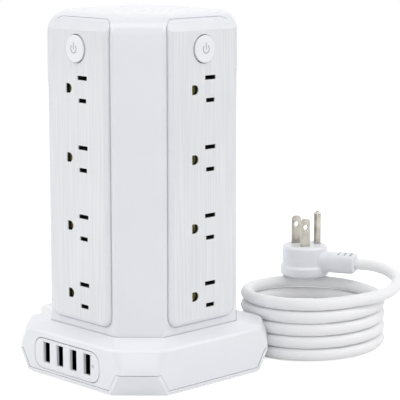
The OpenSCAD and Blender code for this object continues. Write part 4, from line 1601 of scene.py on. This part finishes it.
@dataclass
class Underside:
    """Rubber feet and screws."""

    frame: dict[str, Any]
    foot_edge_mm: float = 0.4
    screw_edge_mm: float = 0.12

    def build(self) -> list[bpy.types.Object]:
        """Makes the small round parts.

        Returns:
            The pieces.
        """
        parts = (
            ("rubber_feet", Rubber(), self.foot_edge_mm),
            ("base_screws", ZincPlate(), self.screw_edge_mm),
            ("column_screws", ZincPlate(), self.screw_edge_mm),
        )
        return [FairShell(self.frame, node, finish, edge_mm=edge).build() for node, finish, edge in parts]


@dataclass
class Insides:
    """Blocks, contacts, switches, ports, boards and wires, which keep their CAD shapes."""

    frame: dict[str, Any]

    def finishes(self) -> dict[str, Finish]:
        """Pairs each material slot with its finish."""
        return {
            "block_plastic": BlackPolycarbonate(),
            "switch_plastic": FilledNylon(),
            "contact_brass": StampedBrass(),
            "port_steel": BlackNickel(),
            "tongue_plastic": BlackInsulator(),
            "board": SolderMask(),
            "absorber": DippedLacquer(),
            "terminal_plastic": GreenNylon(),
            "live_wire": BlackWire(),
            "neutral_wire": WhiteWire(),
            "earth_wire": GreenWire(),
            "shell_plastic": PolishedAbs(),
            "plate_plastic": LinedAbs(),
            "button_plastic": ButtonAbs(),
            "lamp": LightGuide(),
            "foot_rubber": Rubber(),
            "screw_steel": ZincPlate(),
            "cord_vinyl": CordVinyl(),
            "plug_vinyl": MouldedVinyl(),
            "prong_nickel": NickelPlate(),
        }

    def dress(self) -> int:
        """Gives every CAD node its finish.

        Returns:
            The number of nodes that stay as they are.
        """
        finishes = self.finishes()
        leaves = PhosphorBronze()
        kept = 0
        for node, slot in slot_names(self.frame).items():
            obj = self.frame["nodes"][node]
            # The leaves behind the blade slots take the darkened bronze: painted shade in the slots.
            bronze = node.startswith(("neutral_strip", "live_strip"))
            material = (leaves if bronze else finishes[slot]).material()
            obj.data.materials.clear()
            obj.data.materials.append(material)
            kept += not obj.hide_render
        return kept


@dataclass(frozen=True)
class SoftLamp:
    """A square soft box.

    It is placed by its angle to the right of the camera, its height angle and its distance.
    """

    name: str
    right_deg: float
    up_deg: float
    distance: float
    size: float
    watts: float
    mirrored: bool = True


@dataclass
class Studio:
    """Camera, lamps, world and floor."""

    lens_mm: float = 153.6
    sensor_mm: float = 36.0
    nearest: float = 0.05
    farthest: float = 50.0
    camera_at: Point = (0.7334, -0.6590, 0.2721)
    camera_turn_deg: Point = (80.054, 0.0, 46.158)
    towards_camera: Point = (0.7213, -0.6927, 0.0)
    light_behind: float = 0.48
    light_before: float = 0.41
    light_above: float = 0.95
    above_from: float = 0.1
    floor_size: float = 2.6
    floor_colour: str = "#E8E8E8"
    floor_roughness: float = 0.9
    floor_shine: float = 0.1
    floor_own_light: float = 0.62
    aim: Point = (0.0, 0.0, 0.1)
    lamps: tuple[SoftLamp, ...] = (
        SoftLamp("left_lamp", -84, 40, 1.9, 1.5, 14.0),
        SoftLamp("right_lamp", 84, 40, 1.9, 1.5, 13.5),
        SoftLamp("front_lamp", 0, 12, 1.9, 1.5, 7.0),
        SoftLamp("high_lamp", 0, 60, 1.9, 1.0, 7.0),
        SoftLamp("back_lamp", 180, 35, 1.9, 1.2, 7.0, mirrored=False),
    )

    def camera(self) -> None:
        """Places the camera at the photograph's viewpoint."""
        data = bpy.data.cameras.new("camera")
        data.lens = self.lens_mm
        data.sensor_width = self.sensor_mm
        data.clip_start = self.nearest
        data.clip_end = self.farthest
        camera = new_object("camera", data)
        camera.location = self.camera_at
        camera.rotation_euler = [math.radians(a) for a in self.camera_turn_deg]
        bpy.context.scene.camera = camera

    def light(self) -> None:
        """Hangs the soft lamps."""
        towards = Vector(self.towards_camera)
        for lamp in self.lamps:
            data = bpy.data.lights.new(lamp.name, "AREA")
            data.shape = "SQUARE"
            data.size = lamp.size
            data.energy = lamp.watts
            level = Matrix.Rotation(math.radians(lamp.right_deg), 4, "Z") @ towards
            up = math.radians(lamp.up_deg)
            ray = level * math.cos(up) + Vector((0, 0, math.sin(up)))
            obj = new_object(lamp.name, data)
            obj.location = Vector(self.aim) + ray * lamp.distance
            obj.rotation_euler = ray.to_track_quat("Z", "Y").to_euler()
            obj.visible_glossy = lamp.mirrored

    @staticmethod
    def seen(tree: bpy.types.NodeTree) -> bpy.types.NodeSocket:
        """Adds nodes that tell whether a ray comes from the eye, a gloss or a glass.

        Args:
            tree: The node tree.

        Returns:
            The socket that is 1 for such a ray.
        """
        path = add_node(tree, "ShaderNodeLightPath")
        sight = path.outputs["Is Camera Ray"]
        for kind in ("Is Glossy Ray", "Is Transmission Ray"):
            either = {0: sight, 1: path.outputs[kind]}
            sight = add_node(tree, "ShaderNodeMath", {"operation": "MAXIMUM"}, either).outputs[0]
        return sight

    def soft_light(self, tree: bpy.types.NodeTree) -> bpy.types.NodeSocket:
        """Adds the strength of the light from around, which changes with its direction and height.

        Args:
            tree: The world's node tree.

        Returns:
            The strength's socket.
        """
        place = add_node(tree, "ShaderNodeTexCoord").outputs["Generated"]
        facing = add_node(
            tree,
            "ShaderNodeVectorMath",
            {"operation": "DOT_PRODUCT"},
            {0: place, 1: self.towards_camera},
        )
        around = add_node(
            tree,
            "ShaderNodeMapRange",
            inputs={
                "Value": facing.outputs["Value"],
                "From Min": -1.0,
                "From Max": 1.0,
                "To Min": self.light_behind,
                "To Max": self.light_before,
            },
        )
        above = add_node(
            tree,
            "ShaderNodeMapRange",
            inputs={
                "Value": add_node(tree, "ShaderNodeSeparateXYZ", inputs={0: place}).outputs["Z"],
                "From Min": self.above_from,
                "From Max": 1.0,
                "To Min": 1.0,
                "To Max": self.light_above,
            },
        )
        strength = add_node(
            tree,
            "ShaderNodeMath",
            {"operation": "MULTIPLY"},
            {0: around.outputs["Result"], 1: above.outputs["Result"]},
        )
        return strength.outputs[0]

    def world(self) -> None:
        """Makes the surroundings: soft grey as light, plain white to the eye."""
        world = bpy.data.worlds.new("studio_world")
        tree = emptied(world)
        light, plain = [
            add_node(tree, "ShaderNodeBackground", inputs={"Color": linear(WHITE), "Strength": strength})
            for strength in (self.soft_light(tree), 1.0)
        ]
        mixed = add_node(
            tree,
            "ShaderNodeMixShader",
            inputs={0: self.seen(tree), 1: light.outputs[0], 2: plain.outputs[0]},
        )
        add_node(tree, "ShaderNodeOutputWorld", inputs={"Surface": mixed.outputs[0]})
        bpy.context.scene.world = world

    def floor(self) -> None:
        """Lays the pale floor, which reads white where no shadow lies on it."""
        half = self.floor_size / 2
        mesh = bpy.data.meshes.new("floor")
        corners = [(-half, -half, 0), (half, -half, 0), (half, half, 0), (-half, half, 0)]
        mesh.from_pydata(corners, [], [(0, 1, 2, 3)])
        material = bpy.data.materials.new("floor_paper")
        tree = emptied(material)
        paper = add_node(
            tree,
            "ShaderNodeBsdfPrincipled",
            inputs={
                "Base Color": linear(self.floor_colour),
                "Roughness": self.floor_roughness,
                "Specular IOR Level": self.floor_shine,
            },
        )
        own = add_node(
            tree,
            "ShaderNodeMath",
            {"operation": "MULTIPLY"},
            {0: self.seen(tree), 1: self.floor_own_light},
        )
        glow = add_node(
            tree,
            "ShaderNodeEmission",
            inputs={"Color": linear(WHITE), "Strength": own.outputs[0]},
        )
        total = add_node(tree, "ShaderNodeAddShader", inputs={0: paper.outputs[0], 1: glow.outputs[0]})
        add_node(tree, "ShaderNodeOutputMaterial", inputs={"Surface": total.outputs[0]})
        mesh.materials.append(material)
        floor = new_object("floor", mesh)

    def build(self) -> None:
        """Makes the studio."""
        bpy.context.scene.view_settings.view_transform = "Standard"
        self.camera()
        self.light()
        self.world()
        self.floor()


def main() -> None:
    """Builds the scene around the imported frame, piece by piece."""
    logging.basicConfig(level=logging.INFO, format="%(name)s: %(message)s")
    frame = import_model()
    Studio().build()
    cord = Cord()
    cable = cord.build(CordVinyl())
    gland = FairShell(frame, "cord_gland", MouldedVinyl()).build()
    plug = Plug(frame, MouldedVinyl(), NickelPlate()).build()
    cord.declare()
    pieces = [cable, gland, *plug, LampWindow(frame, LightGuide()).build()]
    for part in (
        Housing(frame, PolishedAbs(), BaseAbs()),
        FacePlates(frame, LinedAbs(), PlateSlopeAbs()),
        PowerButtons(frame, ButtonAbs(), PrintedInk()),
        Underside(frame),
    ):
        made = part.build()
        pieces += made
        LOG.info("%s: %d pieces", type(part).__name__, len(made))
    kept = Insides(frame).dress()
    LOG.info("insides: %d nodes keep their shape", kept)
    for piece in pieces:
        LOG.info("piece: %s", piece.name)


if __name__ == "__main__":
    main()
